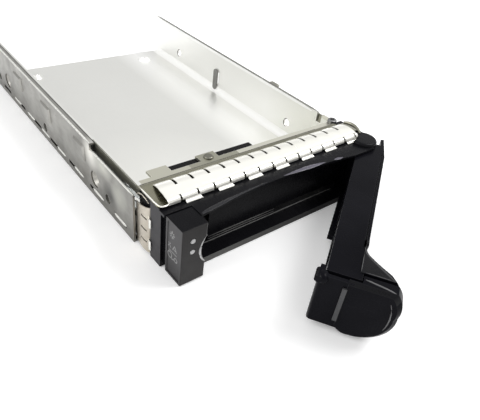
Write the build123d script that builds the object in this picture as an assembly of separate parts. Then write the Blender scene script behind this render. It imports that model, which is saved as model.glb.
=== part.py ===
from build123d import *
import os

os.makedirs("parts", exist_ok=True)

# Hot swap drive caddy for one 3.5 inch drive. Millimetres.
# X runs to the right along the front, Y to the back, Z up.
# The origin is the middle of the tray's underside.

# Drive that the tray is made for
drive_width = 101.6
drive_length = 147.0
drive_side_gap = 0.1
drive_screw_pitch = 101.6
drive_screw_from_front = 16.9
drive_screw_height = 6.35
drive_lift = 2.0
drive_front_gap = 14.9
drive_rear_gap = 0.6

# Folded tray
sheet = 1.0
bend_radius = 1.5
wall_height = 24.0
drive_screw_hole_radius = 1.95
front_flange_depth = 4.4
flange_tab_width = 8.4
flange_tab_reach = 8.6
flange_tab_left_from_wall = 7.2
flange_tab_middle_from_wall = 28.8
front_wall_side_relief = 6.5
front_wall_window_share = 0.27
front_wall_window_height = 11.0
wall_notch_width = 3.0
wall_notch_depth = 4.5
wall_notch_from_front = 10.5
wall_slot_width = 1.6
wall_slot_height = 7.0
wall_slot_from_front = 91.2
wall_ear_width = 5.5
wall_ear_reach = 2.6
wall_ear_from_front = 44.8
rest_pad_radius = 4.0
rest_pad_share = 0.69
rest_pad_from_end = 12.0

# Light pipe guard on the left wall
guard_sheet = 0.8
pipe_channel = 1.7
guard_front_below_deck = 4.3
guard_rear_below_deck = 1.7
guard_step_from_front = 35.0
guard_slot_length = 10.0
guard_slot_height = 1.6
guard_slot_bottom = 2.5
guard_slot_first = 11.0
guard_slot_last = 25.5
guard_slot_count = 7
guard_hump_length = 10.0
guard_hump_height = 7.0
guard_hump_proud = 0.7
guard_hump_bottom = 13.0
guard_hump_first = 40.0
guard_hump_last = 17.5
guard_hump_count = 4
guard_hump_slope = 0.9
guard_screw_window_radius = 3.6
guard_dimple_radius = 2.4
guard_dimple_height = 6.6
guard_end_margin = 0.6

# Light pipes
pipe_end_radius = 0.95
pipe_width = 1.4
pipe_height = 1.9
pipe_upper_drop = 5.7
pipe_lower_drop = 10.4
pipe_from_left = 5.1
pipe_bend_radius = 6.0
pipe_slant_start = 10.0
pipe_slant_end = 27.0
pipe_clearance = 0.2

# Bezel. Depths are measured from the hinge plane, backwards.
bezel_side_proud = 1.0
bezel_depth = 17.0
bezel_wall = 2.0
bezel_side_wall = 2.2
back_wall_depth = 1.5
shelf_height = 2.7
shelf_reach = 5.1
roof_below_deck = 1.7
lip_thickness = 1.0
lip_reach = 6.4
lip_bow = 3.1
lip_bow_from_hinge = 12.0
deck_height = 25.7
deck_front_depth = 2.5
side_strip_recess = 0.9
side_strip_start = 8.2
lug_height = 5.0
lug_bottom = 3.6
lug_length = 10.0
lug_thickness = 3.0
groove_depth = 1.3
groove_start = -0.7
fit_gap = 0.2
edge_round = 0.5
spigot_reach = 4.0
ear_post_drop = 0.7
ear_round = 1.2
lug_rivet_share = 0.6

# Light block cap at the left end
cap_width = 10.7
cap_reach = 10.3
cap_above_roof = 0.6
cap_inset = 0.7
cap_wall = 1.6
cap_cavity_width = 5.6
scoop_radius = 9.0
scoop_centre_out = 5.5
scoop_centre_ahead = 3.5
scoop_share = 0.53
icon_panel_recess = 0.25
icon_panel_margin = 1.0

# Contact strips
strip_sheet = 0.3
finger_slit = 0.7
finger_count = 14
finger_slit_length = 4.6
clip_slit_length = 2.6
clip_share = 0.919
clip_foot = 1.1
clip_gap = 0.05
strip_base_left_gap = 0.1
strip_first_finger = 3.3
strip_end_room = 6.5
first_clip_share = 0.977
strip_apex_rise = 2.8
strip_apex_depth = 7.2
strip_curl_start = 0.5
strip_curl_reach = 1.8
strip_curl_below_apex = 0.7
strip_rear_depth = 14.3
strip_base_depth = 15.6
strip_front_depth = 2.1
side_strip_bulge = 1.3
side_strip_slits = 3
side_strip_slit_height = 0.8
side_strip_clip_height = 4.2
side_strip_foot_gap = 0.8
side_strip_head_room = 4.0
side_strip_clip_shares = (0.24, 0.71)
side_slit_margin = 1.8
strip_rear_lift = 0.1

# Hinge
hinge_inset = 4.0
pin_radius = 1.5
pin_running_gap = 0.06
barrel_radius = 4.3
barrel_pocket_gap = 0.7
ear_radius = 5.9
ear_rise = 0.9
open_angle = 33.0

# Handle, along its own length from the hinge, outwards and up
handle_bottom = 3.0
handle_roof_gap = 0.4
arm_inner = -0.5
arm_outer = 10.5
arm_skin = 1.6
fascia_skin = 1.8
claw_length = 9.0
claw_thickness = 1.4
claw_outer = 9.5
rib_thickness = 1.5
rib_shares = (0.26, 0.46)
spring_rib_back = 27.6
head_step = 3.2
head_outer = 24.0
head_bottom = 0.6
head_skin = 1.8
lower_lug_shares = (0.142, 0.532)
lower_lug_inner = -3.0
lower_lug_height = 2.0
seam_groove_width = 0.5
seam_groove_depth = 0.5
seam_groove_from_outer = 1.2
arm_back_share = 0.7
arm_inner_flare = 0.8
arm_corner_share = 0.1
claw_taper = 0.6
claw_root_proud = 0.2
# Outline of the flare and of its hollow, from the split and the arm's outer face
flare_outline = ((-15.9, 0.0), (-10.5, 1.4), (-7.5, 4.5), (-5.6, 7.5), (-3.2, 10.3), (0.0, 12.3))
flare_end_slope = 0.35
hollow_outline = ((-5.2, 0.0), (-3.6, 6.6), (-1.8, 9.2), (1.0, 10.8), (1.0, 0.0))
guide_wall = 1.5
guide_start_back = 5.0
seam_start = 4.0
seam_end_back = 2.0

# Release button at the handle's end
button_travel = 1.2
button_gap = 1.4
face_thickness = 1.3
wrap_reach = 3.5
wrap_inner = -0.9
wrap_round = 1.5
face_inner = -2.5
face_outer = 8.6
disc_thickness = 1.5
disc_inner = 6.8
disc_edge_round = 1.2
disc_side_gap = 0.3
# Points of the rounded outline: distance in from the outer side, share of the height
disc_top_corner = 2.6
disc_upper_bend = (0.4, 0.84)
disc_widest_share = 0.59
disc_lower_bend = (3.2, 0.16)
disc_lowest = 11.0
disc_heel_bend = (14.4, 0.03)
disc_heel_share = 0.13
ridge_place = 6.3
ridge_width = 1.4
ridge_proud = 0.6
ridge_bottom = 6.5
ridge_top_room = 2.6
peg_radius = 1.3
peg_place = -2.2
peg_below_top = 1.4
peg_back = 2.0
peg_proud = 1.0
peg_opening_margin = 2.0
peg_end_gap = 1.8
lug_opening_margins = (1.0, 2.0)
stem_width = 4.5
stem_height = 10.0
stem_length = 15.0
stem_place = 4.25
stem_middle = 13.0
stem_gap = 0.3
spring_outer_radius = 1.7
spring_wire_radius = 0.25
spring_coils = 8
spring_bore_gap = 0.2
spring_bore_depth = 6.0
spring_end_gap = 0.1

# Fasteners
rivet_radius = 1.2
rivet_head_radius = 2.0
rivet_head_height = 0.8
rivet_dome_share = 0.8
ground_screw_head_radius = 2.1
ground_screw_head_height = 2.0
ground_screw_shank_radius = 1.25
ground_screw_length = 5.0
ground_screw_from_right = 3.0
ground_screw_slot_width = 0.6
ground_screw_slot_depth = 0.8
guard_rivet_first = 21.0
guard_rivet_last = 15.5
stop_rivet_ahead = 1.0
ground_screw_behind = 0.3

# Black strip under the top flange
stop_strip_left_gap = 10.8
stop_strip_length = 45.0
stop_strip_front_depth = 1.5
stop_strip_depth = 6.9
stop_strip_height = 3.4

# How far a cut runs past a face, and the least overlap of two surfaces
over = 1.0
hair = 0.01

# Sizes worked out from the values above
tray_width = drive_width + 2 * drive_side_gap + 2 * sheet
tray_length = drive_front_gap + drive_length + drive_rear_gap
wall_x = tray_width / 2
inner_x = wall_x - sheet
tray_front = -tray_length / 2
tray_rear = tray_length / 2
hinge_x = wall_x - hinge_inset
hinge_y = tray_front - bezel_depth
bezel_x = wall_x + bezel_side_proud
cap_right = -bezel_x + cap_width
back_wall_front = hinge_y + back_wall_depth
back_wall_back = back_wall_front + bezel_wall
bezel_back = tray_front
roof_underside = deck_height - roof_below_deck
cap_height = roof_underside + cap_above_roof
scoop_height = cap_height * scoop_share
ear_top = deck_height + ear_rise
handle_top = roof_underside - handle_roof_gap
head_top = roof_underside
arm_length = hinge_x - cap_right - button_gap - face_thickness - peg_proud - peg_end_gap
rib_places = tuple(share * arm_length for share in rib_shares)
spring_rib_place = arm_length - spring_rib_back
head_split = arm_length - head_step
head_start = head_split + flare_outline[1][0]
lower_lug_start = arm_length * lower_lug_shares[0]
lower_lug_end = arm_length * lower_lug_shares[1]
ridge_top = handle_top - ridge_top_room
peg_height = handle_top - peg_below_top
pipe_upper_height = cap_height - pipe_upper_drop
pipe_lower_height = cap_height - pipe_lower_drop
guard_front_height = deck_height - guard_front_below_deck
guard_rear_height = deck_height - guard_rear_below_deck
strip_apex_height = deck_height + strip_apex_rise
guard_slot_pitch = (tray_length - guard_slot_first - guard_slot_last) / (guard_slot_count - 1)
guard_hump_pitch = (tray_length - guard_hump_first - guard_hump_last) / (guard_hump_count - 1)
guard_rivet_rear = tray_length - guard_rivet_last
guard_rivet_places = (guard_rivet_first, (guard_rivet_first + guard_rivet_rear) / 2, guard_rivet_rear)
rest_pad_spacing = drive_width * rest_pad_share
drive_screw_z = sheet + drive_lift + drive_screw_height
drive_screw_front_y = tray_front + drive_front_gap + drive_screw_from_front
drive_screw_ys = (drive_screw_front_y, drive_screw_front_y + drive_screw_pitch)
guard_inner = -wall_x - pipe_channel
guard_outer = guard_inner - guard_sheet
flange_under = wall_height - sheet
pipe_side_x = -wall_x - pipe_channel / 2
pipe_front_x = -bezel_x + pipe_from_left
pipe_heights = (pipe_upper_height, pipe_lower_height)
strip_left = -bezel_x + strip_first_finger
strip_right = bezel_x - strip_end_room
finger_pitch = (strip_right - strip_left) / finger_count
strip_front = hinge_y + strip_front_depth
clip_bottom = roof_underside + lip_thickness + clip_gap
first_clip_left = strip_left + finger_pitch * first_clip_share
clip_width = finger_pitch * clip_share


def block(x0, x1, y0, y1, z0, z1):
    middle = Pos((x0 + x1) / 2, (y0 + y1) / 2, (z0 + z1) / 2)
    return middle * Box(x1 - x0, y1 - y0, z1 - z0)


def rod_up(x, y, z0, z1, radius):
    return Pos(x, y, (z0 + z1) / 2) * Cylinder(radius, z1 - z0)


def rod_along_x(x0, x1, y, z, radius):
    return Pos((x0 + x1) / 2, y, z) * Rot(0, 90, 0) * Cylinder(radius, x1 - x0)


def rod_along_y(x, y0, y1, z, radius):
    return Pos(x, (y0 + y1) / 2, z) * Rot(90, 0, 0) * Cylinder(radius, y1 - y0)


def folded(line, thickness, side):
    return make_face(offset(Wire(line.edges()), amount=thickness, side=side))


def along_x(profile, x0, x1):
    return extrude(Plane.YZ.offset(x0) * profile, amount=x1 - x0)


def along_y(profile, y0, y1):
    return extrude(Plane.XZ.offset(-y1) * profile, amount=y1 - y0)


def save(shape, name):
    solids = shape.solids()
    piece = solids[0] if len(solids) == 1 else Compound(children=list(solids))
    piece.label = name
    export_step(piece, os.path.join("parts", name + ".step"))


def make_tray():
    section = FilletPolyline(
        (-wall_x, wall_height), (-wall_x, 0), (wall_x, 0), (wall_x, wall_height), radius=bend_radius
    )
    trough = along_y(folded(section, sheet, Side.LEFT), tray_front, tray_rear)
    front_x = inner_x - front_wall_side_relief
    trough -= block(
        -front_x - sheet, front_x + sheet, tray_front - 1, tray_front + 2 * bend_radius, -1,
        sheet + 1,
    )

    fold = FilletPolyline(
        (tray_front + 2 * bend_radius, 0),
        (tray_front, 0),
        (tray_front, wall_height),
        (tray_front + front_flange_depth, wall_height),
        radius=bend_radius,
    )
    front = along_x(folded(fold, sheet, Side.RIGHT), -front_x, front_x)
    window_z = wall_height / 2
    front_wall_window_width = 2 * front_x * front_wall_window_share
    for place in (-1, 0, 1):
        window_x = place * front_x * 2 / 3
        front -= block(
            window_x - front_wall_window_width / 2, window_x + front_wall_window_width / 2,
            tray_front - 1, tray_front + bend_radius + 1,
            window_z - front_wall_window_height / 2, window_z + front_wall_window_height / 2,
        )
    tray = trough + front

    # Top flange tabs, reaching further back than the flange
    for from_wall in (flange_tab_left_from_wall, flange_tab_middle_from_wall):
        tab_left = -wall_x + from_wall
        tray += block(
            tab_left, tab_left + flange_tab_width,
            tray_front + bend_radius, tray_front + flange_tab_reach, flange_under, wall_height,
        )
    # Flange ends carried over to the side walls
    for side in (-1, 1):
        near, far = sorted((side * (front_x - 1), side * (inner_x + sheet / 2)))
        tray += block(near, far, tray_front, tray_front + front_flange_depth, flange_under, wall_height)

    # Side wall openings: drive screws, notches and the right wall's slot
    for y in drive_screw_ys:
        tray -= rod_along_x(-wall_x - 1, wall_x + 1, y, drive_screw_z, drive_screw_hole_radius)
    notch_y = tray_front + wall_notch_from_front
    tray -= block(
        inner_x - 1, wall_x + 1, notch_y, notch_y + wall_notch_width,
        wall_height - wall_notch_depth, wall_height + 1,
    )
    slot_y = tray_front + wall_slot_from_front
    tray -= block(
        inner_x - 1, wall_x + 1, slot_y, slot_y + wall_slot_width,
        drive_screw_z - wall_slot_height / 2, drive_screw_z + wall_slot_height / 2,
    )
    ear_y = tray_front + wall_ear_from_front
    tray += block(
        inner_x, wall_x + wall_ear_reach, ear_y, ear_y + wall_ear_width, flange_under, wall_height
    )
    # Left wall is open where the two light pipes cross it
    pipe_low = pipe_lower_height - pipe_height / 2 - 3 * pipe_clearance
    pipe_high = pipe_upper_height + pipe_height / 2 + 3 * pipe_clearance
    tray -= block(
        -wall_x - 1, -inner_x + 1, tray_front - 1, hinge_y + pipe_slant_end + 1, pipe_low, pipe_high
    )
    # Rest pads that carry the drive
    for x in (-rest_pad_spacing / 2, rest_pad_spacing / 2):
        for y in (tray_front + rest_pad_from_end, tray_rear - rest_pad_from_end):
            pad = Cone(rest_pad_radius, rest_pad_radius / 2, drive_lift)
            tray += Pos(x, y, sheet + drive_lift / 2) * pad

    # Holes for the rivets and the ground screw
    for side in (-1, 1):
        near, far = sorted((side * (inner_x - 1), side * (wall_x + 1)))
        tray -= rod_along_x(near, far, lug_rivet_y(), lug_rivet_z(), rivet_radius)
    for place in guard_rivet_places:
        y = tray_front + place
        tray -= rod_along_x(-wall_x - 1, -inner_x + 1, y, guard_dimple_height, rivet_radius)
    tray -= rod_up(stop_rivet_x(), stop_rivet_y(), flange_under - 1, wall_height + 1, rivet_radius)
    tray -= rod_up(
        ground_screw_x(), ground_screw_y(), flange_under - 1, wall_height + 1,
        ground_screw_shank_radius,
    )
    return tray


def lug_rivet_y():
    return tray_front + lug_length * lug_rivet_share


def lug_rivet_z():
    return lug_bottom + lug_height / 2


def stop_rivet_x():
    return -wall_x + flange_tab_middle_from_wall + flange_tab_width / 2


def stop_rivet_y():
    return tray_front + (front_flange_depth + flange_tab_reach) / 2 - stop_rivet_ahead


def ground_screw_x():
    return wall_x - ground_screw_from_right


def ground_screw_y():
    return tray_front + front_flange_depth / 2 + ground_screw_behind


def make_guard():
    front_y = tray_front + guard_end_margin
    rear_y = tray_rear - guard_end_margin
    step_y = tray_front + guard_step_from_front
    guard = block(guard_outer, guard_inner, front_y, rear_y, guard_sheet, guard_front_height)
    guard += block(guard_outer, guard_inner, step_y, rear_y, guard_sheet, guard_rear_height)
    # Rear top edge turned in towards the tray's wall
    guard += block(
        guard_outer, -wall_x - 2 * fit_gap, step_y, rear_y, guard_rear_height - guard_sheet,
        guard_rear_height
    )
    # Foot turned in under the channel
    guard += block(guard_outer, -wall_x, front_y, rear_y, 0, guard_sheet)

    for index in range(guard_hump_count):
        y = tray_front + guard_hump_first + index * guard_hump_pitch
        hump = block(
            guard_outer - guard_hump_proud, guard_outer, y, y + guard_hump_length,
            guard_hump_bottom, guard_hump_bottom + guard_hump_height,
        )
        outer_face = hump.faces().sort_by(Axis.X)[0]
        guard += chamfer(outer_face.edges(), guard_hump_proud * guard_hump_slope)
    for index in range(guard_slot_count):
        y = tray_front + guard_slot_first - guard_slot_length / 2 + index * guard_slot_pitch
        guard -= block(
            guard_outer - 2, guard_inner + 1, y, y + guard_slot_length,
            guard_slot_bottom, guard_slot_bottom + guard_slot_height,
        )
    for y in drive_screw_ys:
        guard -= rod_along_x(
            guard_outer - 2, guard_inner + 1, y, drive_screw_z, guard_screw_window_radius,
        )
    # Dimples pressed in to the tray's wall, for the rivets
    for place in guard_rivet_places:
        y = tray_front + place
        guard -= rod_along_x(
            guard_outer - 1, guard_inner + 1, y, guard_dimple_height, guard_dimple_radius,
        )
        cup = rod_along_x(guard_outer, -wall_x, y, guard_dimple_height, guard_dimple_radius)
        cup -= rod_along_x(
            guard_outer - 1, -wall_x - guard_sheet, y, guard_dimple_height,
            guard_dimple_radius - guard_sheet / 2
        )
        cup -= rod_along_x(-wall_x - 2, -wall_x + 1, y, guard_dimple_height, rivet_radius)
        guard += cup
    return guard


def make_light_pipe(height):
    start_y = hinge_y - cap_reach
    stub_end = hinge_y + pipe_slant_start / 2
    route = FilletPolyline(
        (pipe_front_x, stub_end, height),
        (pipe_front_x, hinge_y + pipe_slant_start, height),
        (pipe_side_x, hinge_y + pipe_slant_end, height),
        (pipe_side_x, tray_rear - guard_end_margin, height),
        radius=pipe_bend_radius,
    )
    section = Plane((pipe_front_x, stub_end, height), x_dir=(1, 0, 0), z_dir=(0, 1, 0))
    run = sweep(section * Rectangle(pipe_width, pipe_height), path=Wire(route.edges()))
    stub = rod_along_y(pipe_front_x, start_y, stub_end + 1, height, pipe_end_radius)
    return stub + run


def make_bezel():
    bezel = block(-bezel_x, bezel_x, back_wall_front, bezel_back, 0, deck_height)
    bezel -= block(
        -bezel_x + bezel_side_wall, bezel_x - bezel_side_wall,
        back_wall_back, bezel_back + 1, shelf_height, deck_height - bezel_wall,
    )
    # Step in front of the deck, shelf and overhanging lip
    bezel += block(
        cap_right, hinge_x, hinge_y - lip_reach, back_wall_front, roof_underside,
        roof_underside + lip_thickness
    )
    bezel += block(
        -bezel_x, cap_right + 1, hinge_y + groove_start + fit_gap, back_wall_front,
        roof_underside, roof_underside + lip_thickness,
    )
    bezel += block(cap_right, hinge_x, hinge_y - shelf_reach, back_wall_front, 0, shelf_height)
    top_step = block(
        -bezel_x - 1, bezel_x + 1, back_wall_front - 1, hinge_y + deck_front_depth,
        roof_underside + lip_thickness, deck_height + 1,
    )
    bezel -= top_step

    # The roof's front edge is bowed back between the cap and the hinge, as room for fingers
    lip_front = hinge_y - lip_reach
    bow_right = hinge_x - lip_bow_from_hinge
    bow_middle = (cap_right + bow_right) / 2
    bow = make_face(
        ThreePointArc((cap_right, lip_front), (bow_middle, lip_front + lip_bow), (bow_right, lip_front))
        + Polyline(
            (bow_right, lip_front), (bow_right, lip_front - over),
            (cap_right, lip_front - over), (cap_right, lip_front),
        )
    )
    bezel -= extrude(Plane.XY.offset(roof_underside - over) * bow, amount=lip_thickness + 2 * over)

    # Hinge ears above and below the handle's barrel
    ear = rod_up(hinge_x, hinge_y, 0, ear_top, ear_radius)
    ear = fillet(ear.faces().sort_by(Axis.Z)[-1].edges(), ear_round)
    ear_post = block(hinge_x, bezel_x, hinge_y, back_wall_front + 1, 0, deck_height - ear_post_drop)
    bezel += ear + ear_post
    bezel -= rod_up(hinge_x, hinge_y, shelf_height, roof_underside, barrel_radius + barrel_pocket_gap)
    reach = ear_radius + 1
    bezel -= block(
        hinge_x - reach, hinge_x, hinge_y - reach, back_wall_front, shelf_height, roof_underside
    )
    bezel -= block(
        hinge_x - hair, hinge_x + reach, hinge_y - reach, hinge_y + hair, shelf_height, roof_underside
    )
    bezel -= rod_up(hinge_x, hinge_y, pin_radius / 4, ear_top - pin_radius / 4, pin_radius)

    # The ear's top is cut away beside the contact strip's end and its last clip
    last_clip_end = first_clip_left + (finger_count - 2) * finger_pitch + clip_width
    bezel -= block(
        strip_right - 2 * ear_radius, last_clip_end + fit_gap, strip_front - clip_foot - fit_gap,
        bezel_back, roof_underside + lip_thickness, ear_top + over,
    )
    bezel -= block(
        strip_right - 2 * ear_radius, strip_right + fit_gap, strip_front - fit_gap, bezel_back,
        deck_height, ear_top + 1
    )

    # Spigot that carries the light block cap, set in by the groove beside it
    bezel += block(
        -bezel_x + groove_depth, cap_right - groove_depth, hinge_y + groove_start, back_wall_front,
        groove_depth, cap_height - groove_depth,
    )
    bezel += block(
        -bezel_x + cap_wall + fit_gap, -bezel_x + cap_wall + cap_cavity_width - fit_gap,
        hinge_y + groove_start - spigot_reach, hinge_y + groove_start,
        cap_wall + fit_gap, cap_height - cap_wall - fit_gap,
    )
    # Openings in the back wall for the button's end, its peg and the handle's lower lug
    bezel -= block(
        cap_right, hinge_x - arm_length + peg_back + peg_opening_margin,
        back_wall_front - 1, back_wall_back + 1, shelf_height, roof_underside,
    )
    bezel -= block(
        hinge_x - lower_lug_end - lug_opening_margins[0],
        hinge_x - lower_lug_start + lug_opening_margins[1],
        back_wall_front - 1, back_wall_back + 1, shelf_height,
        handle_bottom + lower_lug_height + 3 * fit_gap,
    )
    # Recesses for the side contact strips
    strip_y = hinge_y + side_strip_start
    bezel -= block(
        -bezel_x - 1, -bezel_x + side_strip_recess, strip_y, bezel_back + 1, -1, deck_height + 1,
    )
    bezel -= block(
        bezel_x - side_strip_recess, bezel_x + 1, strip_y, bezel_back + 1, -1, deck_height + 1,
    )

    # Rear lugs that reach inside the tray's walls
    for side in (-1, 1):
        outer = side * inner_x
        near, far = sorted((outer, outer - side * lug_thickness))
        bezel += block(
            near, far, bezel_back - 4, bezel_back + lug_length, lug_bottom,
            lug_bottom + lug_height,
        )
        near, far = sorted((side * (inner_x - lug_thickness - 1), side * (wall_x + 1)))
        bezel -= rod_along_x(near, far, lug_rivet_y(), lug_rivet_z(), rivet_radius)

    # Bores for the light pipes
    for height in pipe_heights:
        bezel -= rod_along_y(
            pipe_front_x, hinge_y - cap_reach, back_wall_back + 1, height,
            pipe_height / 2 + 2 * pipe_clearance
        )
    return bezel


def make_led_cap():
    front = hinge_y - cap_reach
    back = hinge_y + groove_start
    left = -bezel_x + cap_inset
    cap = block(left, cap_right, front, back, 0, cap_height)
    front_edges = cap.faces().sort_by(Axis.Y)[0].edges()
    cap = fillet(front_edges, edge_round)
    cap -= block(
        -bezel_x + cap_wall, -bezel_x + cap_wall + cap_cavity_width,
        front + cap_wall + 1, back + 1, cap_wall, cap_height - cap_wall,
    )
    scoop = Pos(
        cap_right + scoop_centre_out, front - scoop_centre_ahead, scoop_height,
    ) * Sphere(scoop_radius)
    cap -= scoop
    # Icon panel, a shallow flat on the left face
    cap -= block(
        left - 1, left + icon_panel_recess, front + icon_panel_margin, back - icon_panel_margin,
        icon_panel_margin, cap_height - icon_panel_margin,
    )
    for height in pipe_heights:
        cap -= rod_along_y(pipe_front_x, front - 1, front + cap_wall + 2, height, pipe_end_radius + 0.05)
    return cap


def strip_line():
    # Finger strip seen from its end: clip, steep front curl, crown and sprung rear edge
    front = strip_front
    rear = hinge_y + strip_rear_depth
    rise = Line((front, clip_bottom), (front, deck_height + strip_curl_start))
    curl_end = (front + strip_curl_reach, strip_apex_height - strip_curl_below_apex)
    curl = TangentArc(rise @ 1, curl_end, tangent=(0, 1))
    crown = ThreePointArc(
        curl_end, (hinge_y + strip_apex_depth, strip_apex_height),
        (rear, deck_height + 2 * strip_sheet + strip_rear_lift)
    )
    return rise + curl + crown


def make_top_strip():
    base_left = -bezel_x + strip_base_left_gap
    base_front = strip_front
    strip = along_x(folded(strip_line(), strip_sheet, Side.RIGHT), strip_left, strip_right)
    strip += block(
        base_left, strip_right, base_front, hinge_y + strip_base_depth, deck_height,
        deck_height + strip_sheet,
    )
    # Slits between the fingers, from the rear edge
    for index in range(1, finger_count):
        x = strip_left + index * finger_pitch
        strip -= block(
            x - finger_slit / 2, x + finger_slit / 2,
            hinge_y + strip_rear_depth - finger_slit_length, hinge_y + strip_base_depth + 1,
            deck_height + strip_sheet + hair, strip_apex_height + over,
        )
    # Front edge: each second finger keeps its clip, cut free on both sides
    curl_low = deck_height + strip_sheet
    clip_lefts = [first_clip_left + 2 * index * finger_pitch for index in range(finger_count // 2)]
    gap_starts = [strip_left - over] + [clip + clip_width for clip in clip_lefts]
    gap_ends = clip_lefts + [strip_right + over]
    for start, end in zip(gap_starts, gap_ends):
        strip -= block(
            start, end, base_front - over, base_front + strip_sheet + hair, clip_bottom - over,
            deck_height,
        )
    for clip in clip_lefts:
        strip += block(
            clip, clip + clip_width, base_front - clip_foot, base_front + strip_sheet,
            clip_bottom, clip_bottom + strip_sheet,
        )
        for x in (clip - finger_slit, clip + clip_width):
            strip -= block(
                x, x + finger_slit, base_front - over, base_front + clip_slit_length,
                curl_low, strip_apex_height + over,
            )
    return strip


def make_side_strip(side):
    outer = side * (bezel_x - side_strip_recess)
    front = hinge_y + side_strip_start + fit_gap
    rear = bezel_back - fit_gap
    crown = (front + rear) / 2
    bulge = outer + side * side_strip_bulge
    start = (outer + side * hair, front)
    curve = ThreePointArc(start, (bulge, crown), (outer + side * 2 * strip_sheet, rear))
    height = deck_height - side_strip_foot_gap - side_strip_head_room
    turn = Side.LEFT if side < 0 else Side.RIGHT
    skin = folded(curve, strip_sheet, turn)
    strip = extrude(Plane.XY.offset(side_strip_foot_gap) * skin, amount=height)
    near, far = sorted((outer, outer + side * strip_sheet))
    strip += block(near, far, front, rear, side_strip_foot_gap, side_strip_foot_gap + height)
    # Clips turned over the front edge of the recess
    near, far = sorted((outer, outer + side * (side_strip_recess + strip_sheet)))
    for share in side_strip_clip_shares:
        z = side_strip_foot_gap + height * share
        strip += block(
            near, far, front - fit_gap + 2 * hair, front + strip_sheet,
            z - side_strip_clip_height / 2, z + side_strip_clip_height / 2,
        )
    # Slits part the fingers
    near, far = sorted((outer + side * (strip_sheet + 2 * hair), bulge + side))
    for index in range(side_strip_slits):
        z = side_strip_foot_gap + height * (index + 1) / (side_strip_slits + 1)
        strip -= block(
            near, far, front + side_slit_margin, rear + over,
            z - side_strip_slit_height / 2, z + side_strip_slit_height / 2,
        )
    return strip


def disc_profile(inset, inner):
    # Round outline seen from the handle's end, flat on top and cut off at its inner side
    outer = head_outer - inset
    low = head_bottom + inset
    top = head_top - inset
    tall = top - low
    corner = (outer - disc_top_corner, top)
    upper = (outer - disc_upper_bend[0], low + tall * disc_upper_bend[1])
    widest = (outer, low + tall * disc_widest_share)
    lower = (outer - disc_lower_bend[0], low + tall * disc_lower_bend[1])
    lowest = (outer - disc_lowest, low)
    heel_bend = (outer - disc_heel_bend[0], low + tall * disc_heel_bend[1])
    if inner > heel_bend[0]:
        foot = Polyline((inner, top), (inner, low), lowest)
    else:
        heel = (inner, low + tall * disc_heel_share)
        foot = Polyline((inner, top), heel) + ThreePointArc(heel, heel_bend, lowest)
    return make_face(
        foot
        + ThreePointArc(lowest, lower, widest)
        + ThreePointArc(widest, upper, corner)
        + Line(corner, (inner, top))
    )


def handle_location():
    return Pos(hinge_x, hinge_y, 0) * Rot(0, 0, 180 + open_angle)


def make_handle():
    tall = handle_top - handle_bottom
    arm_back = barrel_radius * arm_back_share
    outline = make_face(
        Polyline(
            (-arm_back, arm_back), (-arm_back, claw_outer),
            (head_start * arm_corner_share, arm_outer), (arm_length, arm_outer),
            (arm_length, arm_inner),
            (0, arm_inner - arm_inner_flare), (-arm_back, arm_back),
        )
    )
    body = extrude(Plane.XY.offset(handle_bottom) * outline, amount=tall)
    body += rod_up(0, 0, handle_bottom, handle_top, barrel_radius)
    # Claw past the hinge
    claw_tip = claw_outer - claw_taper
    claw = make_face(
        Polyline(
            (-claw_length, claw_tip), (0, claw_outer + claw_root_proud),
            (0, claw_outer - claw_thickness),
            (-claw_length + claw_taper, claw_tip - claw_thickness), (-claw_length, claw_tip),
        )
    )
    body += extrude(Plane.XY.offset(handle_bottom) * claw, amount=tall)

    # Flared head: curved plan crossed with the rounded D
    bends = [(head_split + ahead, arm_outer + out) for ahead, out in flare_outline]
    plan = make_face(
        Polyline(bends[-1], (head_split, disc_inner), (bends[0][0], disc_inner), bends[0])
        + Spline(*bends, tangents=((1, 0), (1, flare_end_slope)))
    )
    flare = extrude(Plane.XY * plan, amount=head_top)
    cross = along_x(disc_profile(0, disc_inner), bends[0][0] - over, head_split)
    head = flare & cross
    inside = [(head_split + ahead, arm_outer + out) for ahead, out in hollow_outline]
    hollow = extrude(Plane.XY * make_face(Polyline(*inside, inside[0])), amount=head_top)
    room = disc_profile(head_skin, arm_outer - edge_round)
    hollow = hollow & along_x(room, bends[0][0], head_split + over)
    body += head - hollow

    # Channel in the arm, open on its inner side, with cross ribs
    stops = (barrel_radius + rib_thickness,) + rib_places + (spring_rib_place,)
    low = handle_bottom + arm_skin
    high = handle_top - arm_skin
    for start, end in zip(stops[:-1], stops[1:]):
        body -= block(
            start + rib_thickness / 2, end - rib_thickness / 2, arm_inner - 3,
            arm_outer - fascia_skin, low, high
        )
    body -= block(
        spring_rib_place + rib_thickness / 2, arm_length - arm_skin, arm_inner - 3,
        arm_outer - fascia_skin, low, high
    )
    # Guide walls for the button's stem
    stem_half = stem_width / 2 + stem_gap
    stem_tall = stem_height / 2 + stem_gap
    guide_start = arm_length + button_gap - stem_length
    guide = block(
        guide_start + guide_start_back, arm_length, arm_inner, arm_outer - over,
        stem_middle - stem_tall - guide_wall, stem_middle + stem_tall + guide_wall,
    )
    body += guide
    body -= block(
        spring_rib_place + rib_thickness / 2, arm_length + 1, stem_place - stem_half,
        stem_place + stem_half,
        stem_middle - stem_tall, stem_middle + stem_tall,
    )
    # Lower lug
    body += block(
        lower_lug_start, lower_lug_end, lower_lug_inner, arm_inner + edge_round,
        handle_bottom, handle_bottom + lower_lug_height,
    )
    # Seam line between the arm's top and its fascia
    seam = arm_outer - seam_groove_from_outer
    body -= block(
        seam_start, head_start - seam_end_back, seam - seam_groove_width / 2,
        seam + seam_groove_width / 2,
        handle_top - seam_groove_depth, handle_top + 1,
    )
    body -= rod_up(0, 0, handle_bottom - 1, handle_top + 1, pin_radius + pin_running_gap)
    return handle_location() * body


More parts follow.
